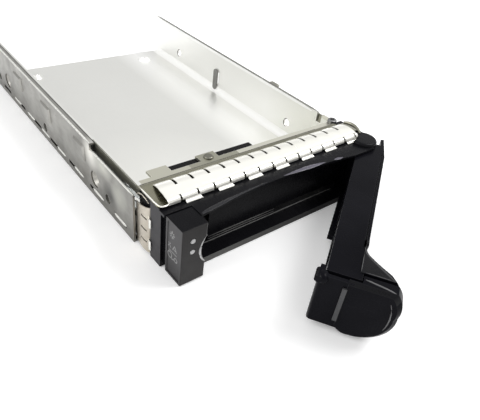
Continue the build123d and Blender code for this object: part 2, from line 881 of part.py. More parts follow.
def make_button():
    start = arm_length + button_gap
    low = handle_bottom
    high = handle_top - 0.1
    button = block(start, start + face_thickness, face_inner, face_outer, low, high)
    button += block(start - wrap_reach, start + face_thickness, face_inner, wrap_inner, low, high)
    corner = button.edges().filter_by(Axis.Z).group_by(Axis.Y)[0].sort_by(Axis.X)[-1]
    button = fillet(corner, wrap_round)
    # Disc, thicker where it stands beside the arm
    disc_back = head_split + button_gap
    disc_front = start + disc_thickness
    disc = along_x(disc_profile(0, disc_inner), disc_back, disc_front - disc_edge_round)
    rim = Plane.YZ.offset(disc_front - disc_edge_round) * disc_profile(0, disc_inner)
    face = Plane.YZ.offset(disc_front) * disc_profile(disc_edge_round, disc_inner)
    disc += loft([rim, face], ruled=True)
    disc -= block(disc_back - over, start, 0, arm_outer + disc_side_gap, 0, head_top + over)
    button += disc
    ridge = block(
        start + face_thickness, start + face_thickness + ridge_proud,
        ridge_place - ridge_width / 2, ridge_place + ridge_width / 2, ridge_bottom, ridge_top,
    )
    button += ridge
    button += rod_along_x(
        start - peg_back, start + face_thickness + peg_proud, peg_place, peg_height, peg_radius,
    )
    stem_back = start - stem_length
    button += block(
        stem_back, start, stem_place - stem_width / 2, stem_place + stem_width / 2,
        stem_middle - stem_height / 2, stem_middle + stem_height / 2,
    )
    button -= rod_along_x(
        stem_back - 1, stem_back + spring_bore_depth, stem_place, stem_middle,
        spring_outer_radius + spring_bore_gap,
    )
    return handle_location() * button


def make_spring():
    seat = spring_rib_place + rib_thickness / 2
    end = arm_length + button_gap - stem_length + spring_bore_depth - button_travel - spring_end_gap
    length = end - seat - 2 * spring_wire_radius
    radius = spring_outer_radius - spring_wire_radius
    path = Helix(pitch=length / spring_coils, height=length, radius=radius)
    start = path @ 0
    section = Plane(start, z_dir=path % 0) * Circle(spring_wire_radius)
    coil = sweep(section, path=path, is_frenet=True)
    place = Pos(seat + spring_wire_radius, stem_place, stem_middle) * Rot(0, 90, 0)
    return handle_location() * place * coil


def make_pin():
    return rod_up(hinge_x, hinge_y, pin_radius / 4, ear_top - pin_radius / 4, pin_radius)


def make_stop_strip():
    left = -wall_x + stop_strip_left_gap
    front = tray_front + stop_strip_front_depth
    strip = block(
        left, left + stop_strip_length, front, front + stop_strip_depth,
        flange_under - stop_strip_height, flange_under,
    )
    strip = fillet(strip.edges().filter_by(Axis.Z), edge_round)
    return strip - rod_up(stop_rivet_x(), stop_rivet_y(), 0, wall_height, rivet_radius)


def make_stop_rivet():
    x = stop_rivet_x()
    y = stop_rivet_y()
    shank = rod_up(x, y, flange_under - stop_strip_height, wall_height, rivet_radius)
    head = rod_up(x, y, wall_height, wall_height + rivet_head_height, rivet_head_radius)
    return shank + fillet(head.faces().sort_by(Axis.Z)[-1].edges(), rivet_head_height * rivet_dome_share)


def make_ground_screw():
    x = ground_screw_x()
    y = ground_screw_y()
    head_top_z = wall_height + ground_screw_head_height
    head = rod_up(x, y, wall_height, head_top_z, ground_screw_head_radius)
    head = fillet(head.faces().sort_by(Axis.Z)[-1].edges(), edge_round)
    half = ground_screw_slot_width / 2
    reach = ground_screw_head_radius * 0.7
    head -= block(
        x - reach, x + reach, y - half, y + half, head_top_z - ground_screw_slot_depth,
        head_top_z + 1,
    )
    head -= block(
        x - half, x + half, y - reach, y + reach, head_top_z - ground_screw_slot_depth,
        head_top_z + 1,
    )
    return head + rod_up(x, y, wall_height - ground_screw_length, wall_height, ground_screw_shank_radius)


def make_side_rivet(side, y, z, grip, head_height):
    # Shank from the wall's outer face inwards, flat head outside
    face = side * wall_x
    near, far = sorted((face, face - side * grip))
    rivet = rod_along_x(near, far, y, z, rivet_radius)
    near, far = sorted((face, face + side * head_height))
    return rivet + rod_along_x(near, far, y, z, rivet_head_radius)


def make_guard_rivet(place):
    y = tray_front + place
    seat = -wall_x - guard_sheet
    shank = rod_along_x(seat, -inner_x, y, guard_dimple_height, rivet_radius)
    head_radius = guard_dimple_radius - guard_sheet / 2 - 0.1
    head = rod_along_x(seat - rivet_head_height, seat, y, guard_dimple_height, head_radius)
    tail = rod_along_x(
        -inner_x, -inner_x + rivet_head_height / 4, y, guard_dimple_height, rivet_head_radius,
    )
    return shank + head + tail


save(make_tray(), "tray")
save(make_guard(), "light_pipe_guard")
save(make_light_pipe(pipe_upper_height), "light_pipe_upper")
save(make_light_pipe(pipe_lower_height), "light_pipe_lower")
save(make_bezel(), "bezel")
save(make_led_cap(), "led_cap")
save(make_top_strip(), "emi_strip_top")
save(make_side_strip(-1), "emi_strip_left")
save(make_side_strip(1), "emi_strip_right")
save(make_handle(), "handle")
save(make_pin(), "hinge_pin")
save(make_button(), "release_button")
save(make_spring(), "button_spring")
save(make_stop_strip(), "stop_strip")
save(make_stop_rivet(), "stop_strip_rivet")
save(make_ground_screw(), "ground_screw")
lug_grip = sheet + lug_thickness
save(make_side_rivet(-1, lug_rivet_y(), lug_rivet_z(), lug_grip, rivet_head_height), "bezel_rivet_left")
save(make_side_rivet(1, lug_rivet_y(), lug_rivet_z(), lug_grip, rivet_head_height), "bezel_rivet_right")
for place, name in zip(guard_rivet_places, ("front", "middle", "rear")):
    save(make_guard_rivet(place), "guard_rivet_" + name)
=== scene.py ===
import math

import bmesh
import bpy
from mathutils import Matrix, Vector

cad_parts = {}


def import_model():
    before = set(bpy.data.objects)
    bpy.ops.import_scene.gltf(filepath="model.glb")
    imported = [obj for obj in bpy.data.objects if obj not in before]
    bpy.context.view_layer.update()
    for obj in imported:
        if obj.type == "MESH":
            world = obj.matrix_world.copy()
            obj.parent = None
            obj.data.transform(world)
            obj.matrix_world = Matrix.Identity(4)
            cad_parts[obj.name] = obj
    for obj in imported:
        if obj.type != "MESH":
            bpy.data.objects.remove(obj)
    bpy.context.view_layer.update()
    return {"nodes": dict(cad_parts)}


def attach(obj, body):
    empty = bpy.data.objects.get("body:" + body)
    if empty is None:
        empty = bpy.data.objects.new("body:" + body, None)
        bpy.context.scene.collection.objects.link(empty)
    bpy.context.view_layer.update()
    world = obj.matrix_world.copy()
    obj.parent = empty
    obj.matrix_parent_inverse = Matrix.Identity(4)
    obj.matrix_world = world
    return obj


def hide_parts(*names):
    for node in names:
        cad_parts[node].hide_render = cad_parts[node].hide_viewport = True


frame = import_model()
nodes = frame["nodes"]

MM = 0.001

# Photograph's frame and camera, in pixels and millimetres
IMAGE_WIDTH = 480
FOCAL_PIXELS = 478.6
SENSOR_WIDTH = 36.0
CAMERA_PLACE = (-117.15, -200.69, 123.91)
CAMERA_LOOKS = (0.54433, 0.57043, -0.61507)
CAMERA_UP = (0.31372, 0.54157, 0.77992)
CLIP_START = 0.01

# Floor: half its side in metres, how far it lies below the part in millimetres, and its glow
# where it is seen directly, near the part and far from it, with the distances in metres
FLOOR_HALF = 3.0
FLOOR_BELOW = 0.3
NEAR_GLOW, FAR_GLOW = 0.19, 0.55
GLOW_FROM, GLOW_TO = 0.35, 1.3

# Square lamps, in metres, and the sky's light
LAMP_SIZE = 0.5
LAMP_AIM = (0, -0.05, 0)
SKY_LIGHT = 0.62


# Small helpers for node trees and materials

class Graph:
    def __init__(self, tree):
        self.tree = tree
        self.tree.nodes.clear()

    def add(self, kind, **values):
        node = self.tree.nodes.new(kind)
        for key, value in values.items():
            setattr(node, key, value)
        return node

    def link(self, a, a_name, b, b_name):
        # Sockets are given by name or by number
        self.tree.links.new(a.outputs[a_name], b.inputs[b_name])

    def ramp(self, source, output, stops):
        node = self.add("ShaderNodeValToRGB")
        elements = node.color_ramp.elements
        while len(elements) < len(stops):
            elements.new(0.5)
        for element, (place, value) in zip(elements, stops):
            element.position = place
            element.color = (value, value, value, 1)
        self.link(source, output, node, "Fac")
        return node

    def background(self, strength=1.0):
        node = self.add("ShaderNodeBackground")
        node.inputs["Color"].default_value = (1, 1, 1, 1)
        node.inputs["Strength"].default_value = strength
        return node


class Nodes(Graph):
    def __init__(self, name):
        self.material = bpy.data.materials.new(name)
        self.material.use_nodes = True
        super().__init__(self.material.node_tree)
        self.out = self.add("ShaderNodeOutputMaterial")
        self.shader = self.add("ShaderNodeBsdfPrincipled")
        self.link(self.shader, "BSDF", self.out, "Surface")

    def coords(self, scale):
        place = self.add("ShaderNodeTexCoord")
        mapping = self.add("ShaderNodeMapping")
        mapping.inputs["Scale"].default_value = scale
        self.link(place, "Object", mapping, "Vector")
        return mapping

    def noise(self, scale, detail=3.0, rough=0.5, stretch=(1, 1, 1)):
        where = self.coords(stretch)
        node = self.add("ShaderNodeTexNoise")
        node.inputs["Scale"].default_value = scale
        node.inputs["Detail"].default_value = detail
        node.inputs["Roughness"].default_value = rough
        self.link(where, "Vector", node, "Vector")
        return node

    def spread(self, source, output, low, high, from_low=0.3, from_high=0.7):
        # Maps a value to a range; a noise mostly runs from 0.3 to 0.7
        node = self.add("ShaderNodeMapRange")
        node.inputs["From Min"].default_value = from_low
        node.inputs["From Max"].default_value = from_high
        node.inputs["To Min"].default_value = low
        node.inputs["To Max"].default_value = high
        self.link(source, output, node, "Value")
        return node

    def mix(self, factor, factor_name, first, second):
        # Colour between two, each a colour or the socket of one
        node = self.add("ShaderNodeMix", data_type="RGBA")
        self.link(factor, factor_name, node, "Factor")
        for name, value in (("A", first), ("B", second)):
            socket = [s for s in node.inputs if s.name == name and s.type == "RGBA"][0]
            if isinstance(value, tuple):
                socket.default_value = (*value, 1)
            else:
                self.tree.links.new(value, socket)
        return [s for s in node.outputs if s.type == "RGBA"][0]

    def edge_mask(self, radius, low=0.02, high=0.25):
        # 1 on convex and concave edges, 0 on flats, from how far a rounded normal turns
        bevel = self.add("ShaderNodeBevel", samples=4)
        bevel.inputs["Radius"].default_value = radius
        geometry = self.add("ShaderNodeNewGeometry")
        dot = self.add("ShaderNodeVectorMath", operation="DOT_PRODUCT")
        self.link(bevel, "Normal", dot, 0)
        self.link(geometry, "Normal", dot, 1)
        return self.spread(dot, "Value", 0.0, 1.0, 1 - low, 1 - high)

    def axes(self):
        # The object's own coordinates, one by one, in metres
        place = self.add("ShaderNodeTexCoord")
        split = self.add("ShaderNodeSeparateXYZ")
        self.link(place, "Object", split, "Vector")
        return split

    def near(self, centre, radius, stretch):
        # 1 at a place of the object, fading to 0 at a distance, in millimetres
        place = self.add("ShaderNodeTexCoord")
        scaled = self.add("ShaderNodeVectorMath", operation="MULTIPLY")
        self.link(place, "Object", scaled, 0)
        scaled.inputs[1].default_value = [1000.0 * k for k in stretch]
        away = self.add("ShaderNodeVectorMath", operation="DISTANCE")
        self.link(scaled, "Vector", away, 0)
        away.inputs[1].default_value = [c * k for c, k in zip(centre, stretch)]
        return self.spread(away, "Value", 1.0, 0.0, 0.15 * radius, radius)

    def height(self, low, high):
        # 0 below one height of the object, 1 above another, in metres
        return self.spread(self.axes(), "Z", 0.0, 1.0, low, high)

    def inside(self, *limits):
        # 1 inside a box given by the object's own coordinates in metres, 0 outside it
        split = self.axes()
        last = None
        for axis, (low, high) in zip("XYZ", limits):
            within = self.add("ShaderNodeMath", operation="COMPARE")
            within.inputs[1].default_value = (low + high) / 2
            within.inputs[2].default_value = (high - low) / 2
            self.link(split, axis, within, 0)
            if last is not None:
                both = self.add("ShaderNodeMath", operation="MULTIPLY")
                self.link(last, "Value", both, 0)
                self.link(within, "Value", both, 1)
                within = both
            last = within
        return last

    def painted(self, base, patches, zones, low):
        # Painted light and shade: colour with round patches, then boxes, then a fade to a colour of its own
        # at the bottom
        for centre, radius, stretch, colour in patches:
            base = self.mix(self.near(centre, radius, stretch), "Result", base, colour)
        for limits, colour in zones:
            base = self.mix(self.inside(*limits), "Value", base, colour)
        if low:
            colour, start, end = low
            base = self.mix(self.height(start, end), "Result", colour, base)
        return base

    def roughness(self, broad, fine, limits, jitter):
        # Roughness between two limits after a broad noise, with a fine one on top
        total = self.add("ShaderNodeMath", operation="ADD")
        self.link(self.spread(broad, "Fac", *limits), "Result", total, 0)
        self.link(self.spread(fine, "Fac", -jitter, jitter), "Result", total, 1)
        self.link(total, "Value", self.shader, "Roughness")

    def bumps(self, layers):
        # layers: (node, output, strength, distance)
        last = None
        for source, output, strength, distance in layers:
            bump = self.add("ShaderNodeBump")
            bump.inputs["Strength"].default_value = strength
            bump.inputs["Distance"].default_value = distance
            self.link(source, output, bump, "Height")
            if last is not None:
                self.link(last, "Normal", bump, "Normal")
            last = bump
        self.link(last, "Normal", self.shader, "Normal")


def metal(
    name, colour, tint, rough, brush=(1, 1, 1), grain=420.0, grain_bump=0.08, blotch=45.0, edge=0.00025,
    metallic=1.0, patches=(), zones=(), low=None,
):
    m = Nodes(name)
    m.shader.inputs["Metallic"].default_value = metallic
    blotches = m.noise(blotch, 4.0, 0.55)
    fine = m.noise(grain, 2.0, 0.6, brush)
    base = m.mix(m.spread(blotches, "Fac", 0.0, 1.0), "Result", colour, tint)
    base = m.painted(base, patches, zones, low)
    # Edges painted a little brighter, for wear and as painted edge highlights
    bright = tuple(min(1.0, c * 1.12) for c in colour)
    edge_wear_and_sheen = m.mix(m.edge_mask(edge), "Result", base, bright)
    m.tree.links.new(edge_wear_and_sheen, m.shader.inputs["Base Color"])
    m.roughness(blotches, fine, rough, 0.05)
    m.bumps([(fine, "Fac", grain_bump, 0.0001), (blotches, "Fac", 0.12, 0.0003)])
    return m.material


def plastic(name, colour, edge_wear_and_sheen, rough, specular, edge=0.0003, patches=(), low=None):
    m = Nodes(name)
    m.shader.inputs["Specular IOR Level"].default_value = specular
    blotches = m.noise(38.0, 3.0, 0.6)
    fine = m.noise(2600.0, 2.0, 0.5)
    scuffs = m.noise(160.0, 6.0, 0.7, (1, 0.25, 1))
    paler = tuple(c * 1.5 + 0.002 for c in colour)
    base = m.mix(m.spread(blotches, "Fac", 0.0, 1.0), "Result", colour, paler)
    base = m.painted(base, patches, (), low)
    # Edges take the given paler colour, for wear and as painted edge highlights
    final = m.mix(m.edge_mask(edge), "Result", base, edge_wear_and_sheen)
    m.tree.links.new(final, m.shader.inputs["Base Color"])
    m.roughness(scuffs, fine, rough, 0.04)
    m.bumps([(fine, "Fac", 0.25, 0.00004), (scuffs, "Fac", 0.06, 0.0001)])
    return m.material


ACRYLIC_IOR = 1.49


def clear_rod(name):
    m = Nodes(name)
    m.shader.inputs["Transmission Weight"].default_value = 0.85
    m.shader.inputs["IOR"].default_value = ACRYLIC_IOR
    cloud = m.noise(300.0, 3.0, 0.5)
    base = m.mix(m.spread(cloud, "Fac", 0, 1), "Result", (0.93, 0.95, 0.95), (0.80, 0.84, 0.85))
    m.tree.links.new(base, m.shader.inputs["Base Color"])
    m.link(m.spread(cloud, "Fac", 0.12, 0.3), "Result", m.shader, "Roughness")
    m.bumps([(cloud, "Fac", 0.1, 0.0001)])
    return m.material


# Materials; patches are (centre, radius, stretch, colour) in millimetres, zones are boxes in metres

# Painted light and shade on the tray: the bright band over the floor's right part, the paler patch at its
# front left and the paler band on the right wall's inner face are painted highlights; the darker patch at the
# right wall's front, the left wall's face behind the guard, the beige front flange band with its darker tab,
# the right wall's outer skin and its ear are painted shade
steel_tray = metal(
    "steel_tray", (0.80, 0.80, 0.77), (0.76, 0.76, 0.73), (0.34, 0.42), (1, 0.2, 1), 900.0, 0.03, 12.0,
    metallic=0.8,
    patches=(
        ((36, 0, 0), 17.0, (1, 0, 0), (1.0, 1.0, 0.98)),
        ((-28, -62, 1), 55.0, (1, 1, 1), (0.87, 0.87, 0.83)),
        ((50.9, 0, 0), 3.0, (1, 0, 0), (0.87, 0.87, 0.84)),
        ((50.9, -72, 10), 40.0, (1, 1, 1), (0.70, 0.70, 0.64)),
    ),
    zones=(
        (((-0.06, -0.0515), (-0.09, -0.044), (0.010, 0.03)), (0.22, 0.215, 0.175)),
        (((0.0517, 0.0521), (-0.0815, 0.0815), (-0.001, 0.0245)), (0.56, 0.555, 0.52)),
        (((-0.0500, 1), (-0.0870, -0.0690), (0.0225, 0.030)), (0.52, 0.51, 0.43)),
        (((-0.0060, 1), (-0.0870, -0.0690), (0.0225, 0.030)), (0.62, 0.61, 0.53)),
        (((-0.0290, -0.0060), (-0.0870, -0.0690), (0.0225, 0.030)), (0.34, 0.335, 0.27)),
        (((0.0521, 0.06), (-1, 1), (0.01, 0.03)), (0.27, 0.265, 0.22)),
    ),
)
# Painted light and shade on the guard: the dark patches low down and near the front and the fade to a darker
# colour at the bottom are painted shade, the pale patches near its top are painted highlights
steel_guard = metal(
    "steel_guard", (0.36, 0.355, 0.33), (0.25, 0.245, 0.23), (0.30, 0.50), (1, 0.2, 1), 800.0, 0.05, 75.0,
    patches=(
        ((-54.4, -62.5, 9.5), 6.5, (0, 1, 1), (0.10, 0.10, 0.095)),
        ((-54.4, -56.0, 2.0), 8.0, (0, 1, 1), (0.10, 0.10, 0.095)),
        ((-54.4, -40.0, 5.0), 9.0, (0, 1, 1), (0.15, 0.14, 0.12)),
        ((-54.4, -47.0, 20.0), 8.0, (0, 1, 1), (0.80, 0.79, 0.74)),
        ((-54.4, -57.0, 19.6), 5.0, (0, 0.6, 1), (0.55, 0.55, 0.50)),
        ((-54.4, -70.0, 14.0), 7.0, (0, 1, 1), (0.42, 0.42, 0.38)),
    ),
    low=((0.16, 0.155, 0.14), 0.001, 0.011),
)
# Darker olive copy of the strip steel: painted shade on the top strip's right end and behind the right wall's
# notch
end_shade_steel = metal("end_shade_steel", (0.36, 0.35, 0.29), (0.22, 0.215, 0.175), (0.3, 0.45), blotch=110.0)
# Paler copy of the guard's steel: painted highlights on its slot lips and top edge
guard_highlight_steel = metal("guard_highlight_steel", (0.85, 0.85, 0.80), (0.70, 0.70, 0.66), (0.25, 0.35), metallic=0.6)
dimple_steel = metal("dimple_steel", (0.50, 0.49, 0.45), (0.38, 0.37, 0.34), (0.35, 0.5), metallic=0.6)
# Darker copy of the tray steel: painted shade on the right wall's top edge and round the screw holes
edge_shade_steel = metal("edge_shade_steel", (0.26, 0.255, 0.24), (0.18, 0.175, 0.165), (0.35, 0.5))
# Near-white copy of the tray steel: painted highlights along the floor's bend and inside the right wall's top
# edge
bend_highlight_steel = metal(
    "bend_highlight_steel", (0.97, 0.97, 0.95), (0.94, 0.94, 0.92), (0.42, 0.5), grain_bump=0.02, edge=0.00001,
    metallic=0.25,
)
rivet_dull = metal("rivet_dull", (0.22, 0.215, 0.18), (0.15, 0.145, 0.12), (0.35, 0.5))
bright_strip = metal(
    "bright_strip", (0.98, 0.97, 0.91), (0.92, 0.91, 0.84), (0.16, 0.24), (1, 0.2, 1), 700.0, 0.03, 40.0,
    metallic=0.6,
)
# Dark olive copy of the strip steel: painted shade on the base under the fingers
trough = metal(
    "strip_trough", (0.30, 0.29, 0.22), (0.20, 0.195, 0.14), (0.22, 0.36), (1, 0.2, 1), 700.0, 0.06,
)
dull_strip = metal(
    "dull_strip", (0.64, 0.59, 0.51), (0.48, 0.44, 0.37), (0.34, 0.50), (1, 1, 0.3), 900.0, 0.12, 150.0,
    metallic=0.7,
)
pin_steel = metal("pin_steel", (0.62, 0.62, 0.62), (0.55, 0.55, 0.55), (0.25, 0.35))
rivet_metal = metal("rivet_metal", (0.60, 0.60, 0.58), (0.50, 0.50, 0.48), (0.3, 0.45))
dark_screw = metal("dark_screw", (0.26, 0.26, 0.26), (0.18, 0.18, 0.185), (0.3, 0.42))
spring_steel = metal("spring_steel", (0.55, 0.55, 0.54), (0.45, 0.45, 0.45), (0.25, 0.35))
black_plastic = plastic("black_plastic", (0.004, 0.004, 0.005), (0.016, 0.016, 0.018), (0.22, 0.34), 0.06)
# Paler, glossier copy of the black plastic for the bezel's rounded edges: painted edge highlights
black_edge_sheen = plastic("black_edge_sheen", (0.010, 0.010, 0.012), (0.020, 0.020, 0.022), (0.22, 0.32), 0.30)
# Shelf's front edge, with a pale patch fading along it as a painted reflection
shelf_edge = plastic(
    "shelf_edge", (0.012, 0.012, 0.012), (0.03, 0.03, 0.03), (0.35, 0.5), 0.10, edge=0.0001,
    patches=[((-41.0, -103.5, 1.4), 62.0, (1, 0, 0), (0.105, 0.105, 0.10))],
)
# Pale grey plastic for the fine ribs at the recess's foot: painted highlights
rib_highlight = plastic("rib_highlight", (0.10, 0.10, 0.095), (0.14, 0.14, 0.14), (0.3, 0.4), 0.3)
# Pale grey on the cap's finger scoop: painted reflection
scoop_reflection = plastic("scoop_reflection", (0.11, 0.11, 0.11), (0.2, 0.2, 0.2), (0.3, 0.4), 0.3)
# Pale purplish plastic for streaks on the lip: painted reflection
lip_reflection = plastic("lip_reflection_edge", (0.060, 0.056, 0.075), (0.09, 0.085, 0.11), (0.2, 0.3), 0.4)
handle_plastic = plastic(
    "handle_plastic", (0.003, 0.003, 0.0045), (0.014, 0.014, 0.017), (0.20, 0.32), 0.035
)
# Paler, glossier copy of the handle plastic on the flare's top and the disc's top rim: painted light
lit_top_plastic = plastic(
    "lit_top_plastic", (0.0055, 0.0055, 0.0065), (0.03, 0.03, 0.032), (0.24, 0.36), 0.095
)
# Paler, glossier copy of the handle plastic for its rounded edges: painted edge highlights
handle_edge_sheen = plastic("handle_edge_sheen", (0.012, 0.012, 0.014), (0.024, 0.024, 0.027), (0.22, 0.32), 0.35)
# Grey plastic for the handle's light lines and the button's ridge: painted highlights
ridge_highlight = plastic("ridge_highlight", (0.042, 0.042, 0.044), (0.07, 0.07, 0.07), (0.3, 0.4), 0.25)
cap_plastic = plastic("cap_plastic", (0.026, 0.025, 0.025), (0.050, 0.048, 0.048), (0.42, 0.55), 0.10)
# Cap's left face, painted paler grey than the front as light on that side, and darker towards the bottom
cap_lit_side = plastic(
    "cap_lit_side", (0.072, 0.071, 0.073), (0.09, 0.09, 0.09), (0.40, 0.52), 0.08,
    low=((0.036, 0.035, 0.036), 0.001, 0.012),
)
# Paler copy of the black plastic for the bezel's left cheek: painted light on that side
bezel_lit_cheek = plastic("bezel_lit_cheek", (0.048, 0.047, 0.050), (0.09, 0.09, 0.09), (0.45, 0.6), 0.08)
icon_print = plastic("icon_print", (0.22, 0.22, 0.22), (0.25, 0.25, 0.25), (0.5, 0.6), 0.1)
lens_plastic = plastic("lens_plastic", (0.38, 0.38, 0.38), (0.5, 0.5, 0.5), (0.2, 0.3), 0.4)
# Grey plastic for the lines on the button's disc: painted highlights
disc_rim_highlight = plastic("disc_rim_highlight", (0.085, 0.085, 0.087), (0.11, 0.11, 0.11), (0.3, 0.4), 0.3)
# Dark grey plastic for the lip's bead: painted highlight
lip_highlight = plastic("lip_highlight", (0.016, 0.016, 0.018), (0.03, 0.03, 0.035), (0.22, 0.32), 0.15)
# Pale grey for the crescent on the scoop's edge: painted highlight
scoop_highlight = plastic("scoop_highlight", (0.40, 0.40, 0.40), (0.45, 0.45, 0.45), (0.3, 0.4), 0.3)
strip_plastic = plastic("strip_plastic", (0.006, 0.006, 0.006), (0.02, 0.02, 0.02), (0.5, 0.65), 0.08)
# Dark grey plate material on the right wall's inside: painted shade of a dark hole there
hole_shade_plastic = plastic("hole_shade_plastic", (0.16, 0.16, 0.15), (0.2, 0.2, 0.2), (0.5, 0.65), 0.2)
rod = clear_rod("clear_rod")

LOOKS = {
    "tray": steel_tray, "light_pipe_guard": steel_guard, "light_pipe_upper": rod, "light_pipe_lower": rod,
    "bezel": black_plastic, "led_cap": cap_plastic, "emi_strip_top": bright_strip,
    "emi_strip_left": dull_strip, "emi_strip_right": dull_strip, "hinge_pin": pin_steel,
    "stop_strip": strip_plastic, "stop_strip_rivet": rivet_dull, "ground_screw": dark_screw,
    "bezel_rivet_left": rivet_metal, "bezel_rivet_right": rivet_metal, "guard_rivet_front": rivet_metal,
    "guard_rivet_middle": rivet_metal, "guard_rivet_rear": rivet_metal, "handle": handle_plastic,
    "release_button": handle_plastic, "button_spring": spring_steel,
}
for name, material in LOOKS.items():
    for slot in nodes[name].material_slots:
        slot.material = material


# Helpers for meshes, in millimetres

HINGE_X, HINGE_Y = 47.9, -98.25
OPEN_ANGLE = math.radians(33.0)

# Corners this near are one, in metres, faces this flat are one, and edges this sharp are rounded
SAME_PLACE = 2e-6
FLAT_ANGLE = math.radians(0.6)
ROUNDED_ANGLE = math.radians(35)


def link(obj):
    # Puts the object into the scene
    bpy.context.scene.collection.objects.link(obj)
    return obj


def on_arm(u, v, z):
    # Point given along the open handle, outwards from it and up
    c, s = math.cos(OPEN_ANGLE), math.sin(OPEN_ANGLE)
    return (HINGE_X - u * c + v * s, HINGE_Y - u * s - v * c, z)


def baked(obj):
    # Replaces the object's mesh by what its modifiers make of it
    graph = bpy.context.evaluated_depsgraph_get()
    result = bpy.data.meshes.new_from_object(obj.evaluated_get(graph))
    obj.modifiers.clear()
    obj.data = result
    return obj


def finish_piece(obj, body, replaced=(), smooth=38):
    # Smooths all but the sharp edges, and says what the piece rides on and stands for
    if smooth:
        obj.data.shade_smooth()
        obj.data.set_sharp_from_angle(angle=math.radians(smooth))
    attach(obj, body)
    if replaced:
        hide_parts(*replaced)


def drawn(name, points, faces, materials):
    # Mesh of the points, in millimetres, with its faces turned outwards, still open for changes
    mesh = bpy.data.meshes.new(name)
    mesh.from_pydata([Vector(p) * MM for p in points], [], faces)
    for material in materials:
        mesh.materials.append(material)
    work = bmesh.new()
    work.from_mesh(mesh)
    bmesh.ops.delete(work, geom=[v for v in work.verts if not v.link_faces], context="VERTS")
    bmesh.ops.recalc_face_normals(work, faces=work.faces)
    return mesh, work


def closed(name, mesh, work):
    work.to_mesh(mesh)
    work.free()
    return link(bpy.data.objects.new(name, mesh))


def piece(name, points, faces, materials):
    # Closed shape as an object
    mesh, work = drawn(name, points, faces, materials)
    return closed(name, mesh, work)


def sheet_piece(name, points, faces, materials, thickness, offset):
    # Sheet with thickness, laid under its upper side (offset -1) or about its middle (0)
    mesh, work = drawn(name, points, faces, materials)
    if sum(f.normal.z for f in work.faces) < 0:
        bmesh.ops.reverse_faces(work, faces=work.faces)
    obj = closed(name, mesh, work)
    solid = obj.modifiers.new("sheet", "SOLIDIFY")
    solid.thickness = thickness * MM
    solid.offset = offset
    return baked(obj)


def dressed(node, name, width, materials, paint, shift=None, smooth=30):
    # Rounded-edge copy of a solid; its rounded edges take the second material
    mesh = bpy.data.meshes.new(name)
    work = bmesh.new()
    work.from_mesh(nodes[node].data)
    bmesh.ops.remove_doubles(work, verts=work.verts, dist=SAME_PLACE)
    bmesh.ops.dissolve_limit(work, angle_limit=FLAT_ANGLE, verts=work.verts, edges=work.edges)
    if shift:
        shift(work)
    for face in work.faces:
        face.material_index = 0
    work.to_mesh(mesh)
    work.free()
    for material in materials:
        mesh.materials.append(material)
    mesh.shade_smooth()
    mesh.set_sharp_from_angle(angle=math.radians(smooth))
    obj = link(bpy.data.objects.new(name, mesh))
    bevel = obj.modifiers.new("round", "BEVEL")
    bevel.width = width * MM
    bevel.segments = 3
    bevel.limit_method = "ANGLE"
    bevel.angle_limit = ROUNDED_ANGLE
    bevel.use_clamp_overlap = True
    bevel.harden_normals = True
    bevel.material = 1
    baked(obj)
    for face in obj.data.polygons:
        face.material_index = paint(face.center / MM, face.normal, face.material_index)
    return obj


def directions(points):
    # Unit directions along a path, one at each of its points
    steps = []
    for index in range(len(points)):
        before = Vector(points[max(index - 1, 0)])
        after = Vector(points[min(index + 1, len(points) - 1)])
        steps.append((after - before).normalized())
    return steps


def tube_faces(count, sides):
    # Faces of a closed tube: count rings of points and its two ends
    faces = []
    last = (count - 1) * sides
    for start in range(0, last, sides):
        for k in range(sides):
            a = start + k
            b = start + (k + 1) % sides
            faces.append((a, b, b + sides, a + sides))
    faces.append(tuple(range(sides)))
    faces.append(tuple(last + k for k in range(sides)))
    return faces


def bead(points, wide, tall, sizes=None):
    # Closed rounded bead along a path, half as wide and tall as its section, with tapered ends
    verts = []
    sides = 12
    last = len(points) - 1
    for index, (point, along) in enumerate(zip(points, directions(points))):
        across = along.cross(Vector((0, 0, 1)))
        across = across.normalized() if across.length > 0.3 else Vector((1, 0, 0))
        up = across.cross(along)
        size = sizes[index] if sizes else (0.35 if index in (0, last) else 1.0)
        for k in range(sides):
            turn = 2 * math.pi * k / sides
            verts.append(
                Vector(point) + across * (math.cos(turn) * wide * size) + up * (math.sin(turn) * tall * size)
            )
    return verts, tube_faces(len(points), sides)


def lathe(profile, place, turn_axis, sides=32):
    # Solid of revolution: profile of (along, radius), from place along turn_axis
    axis = Vector(turn_axis).normalized()
    first = axis.orthogonal().normalized()
    second = axis.cross(first)
    verts = []
    for along, radius in profile:
        for k in range(sides):
            turn = 2 * math.pi * k / sides
            verts.append(
                Vector(place) + axis * along + (first * math.cos(turn) + second * math.sin(turn)) * radius
            )
    return verts, tube_faces(len(profile), sides)


def plate(outline, origin, across, up, thick, hole=()):
    # Flat shape with thickness in the plane of across and up; a hole has as many points as the outline
    a, b = Vector(across), Vector(up)
    normal = a.cross(b).normalized()
    count = len(outline)
    verts = [
        Vector(origin) + a * x + b * y + normal * depth
        for line in (outline, hole) for depth in (0.0, thick) for x, y in line
    ]
    faces = []
    for k in range(count):
        n = (k + 1) % count
        faces.append((k, n, count + n, count + k))
        if hole:
            faces.append((2 * count + k, 2 * count + n, 3 * count + n, 3 * count + k))
            faces.append((k, n, 2 * count + n, 2 * count + k))
            faces.append((count + k, count + n, 3 * count + n, 3 * count + k))
    if not hole:
        faces.append(tuple(range(count)))
        faces.append(tuple(range(count, 2 * count)))
    return verts, faces


def grid(rows, skipped=None):
    # Open sheet of rows with the same number of points each, without the cells skipped
    wide = len(rows[0])
    faces = []
    for i in range(len(rows) - 1):
        for j in range(wide - 1):
            if not (skipped and skipped(i, j)):
                a = i * wide + j
                faces.append((a, a + 1, a + wide + 1, a + wide))
    return [p for row in rows for p in row], faces


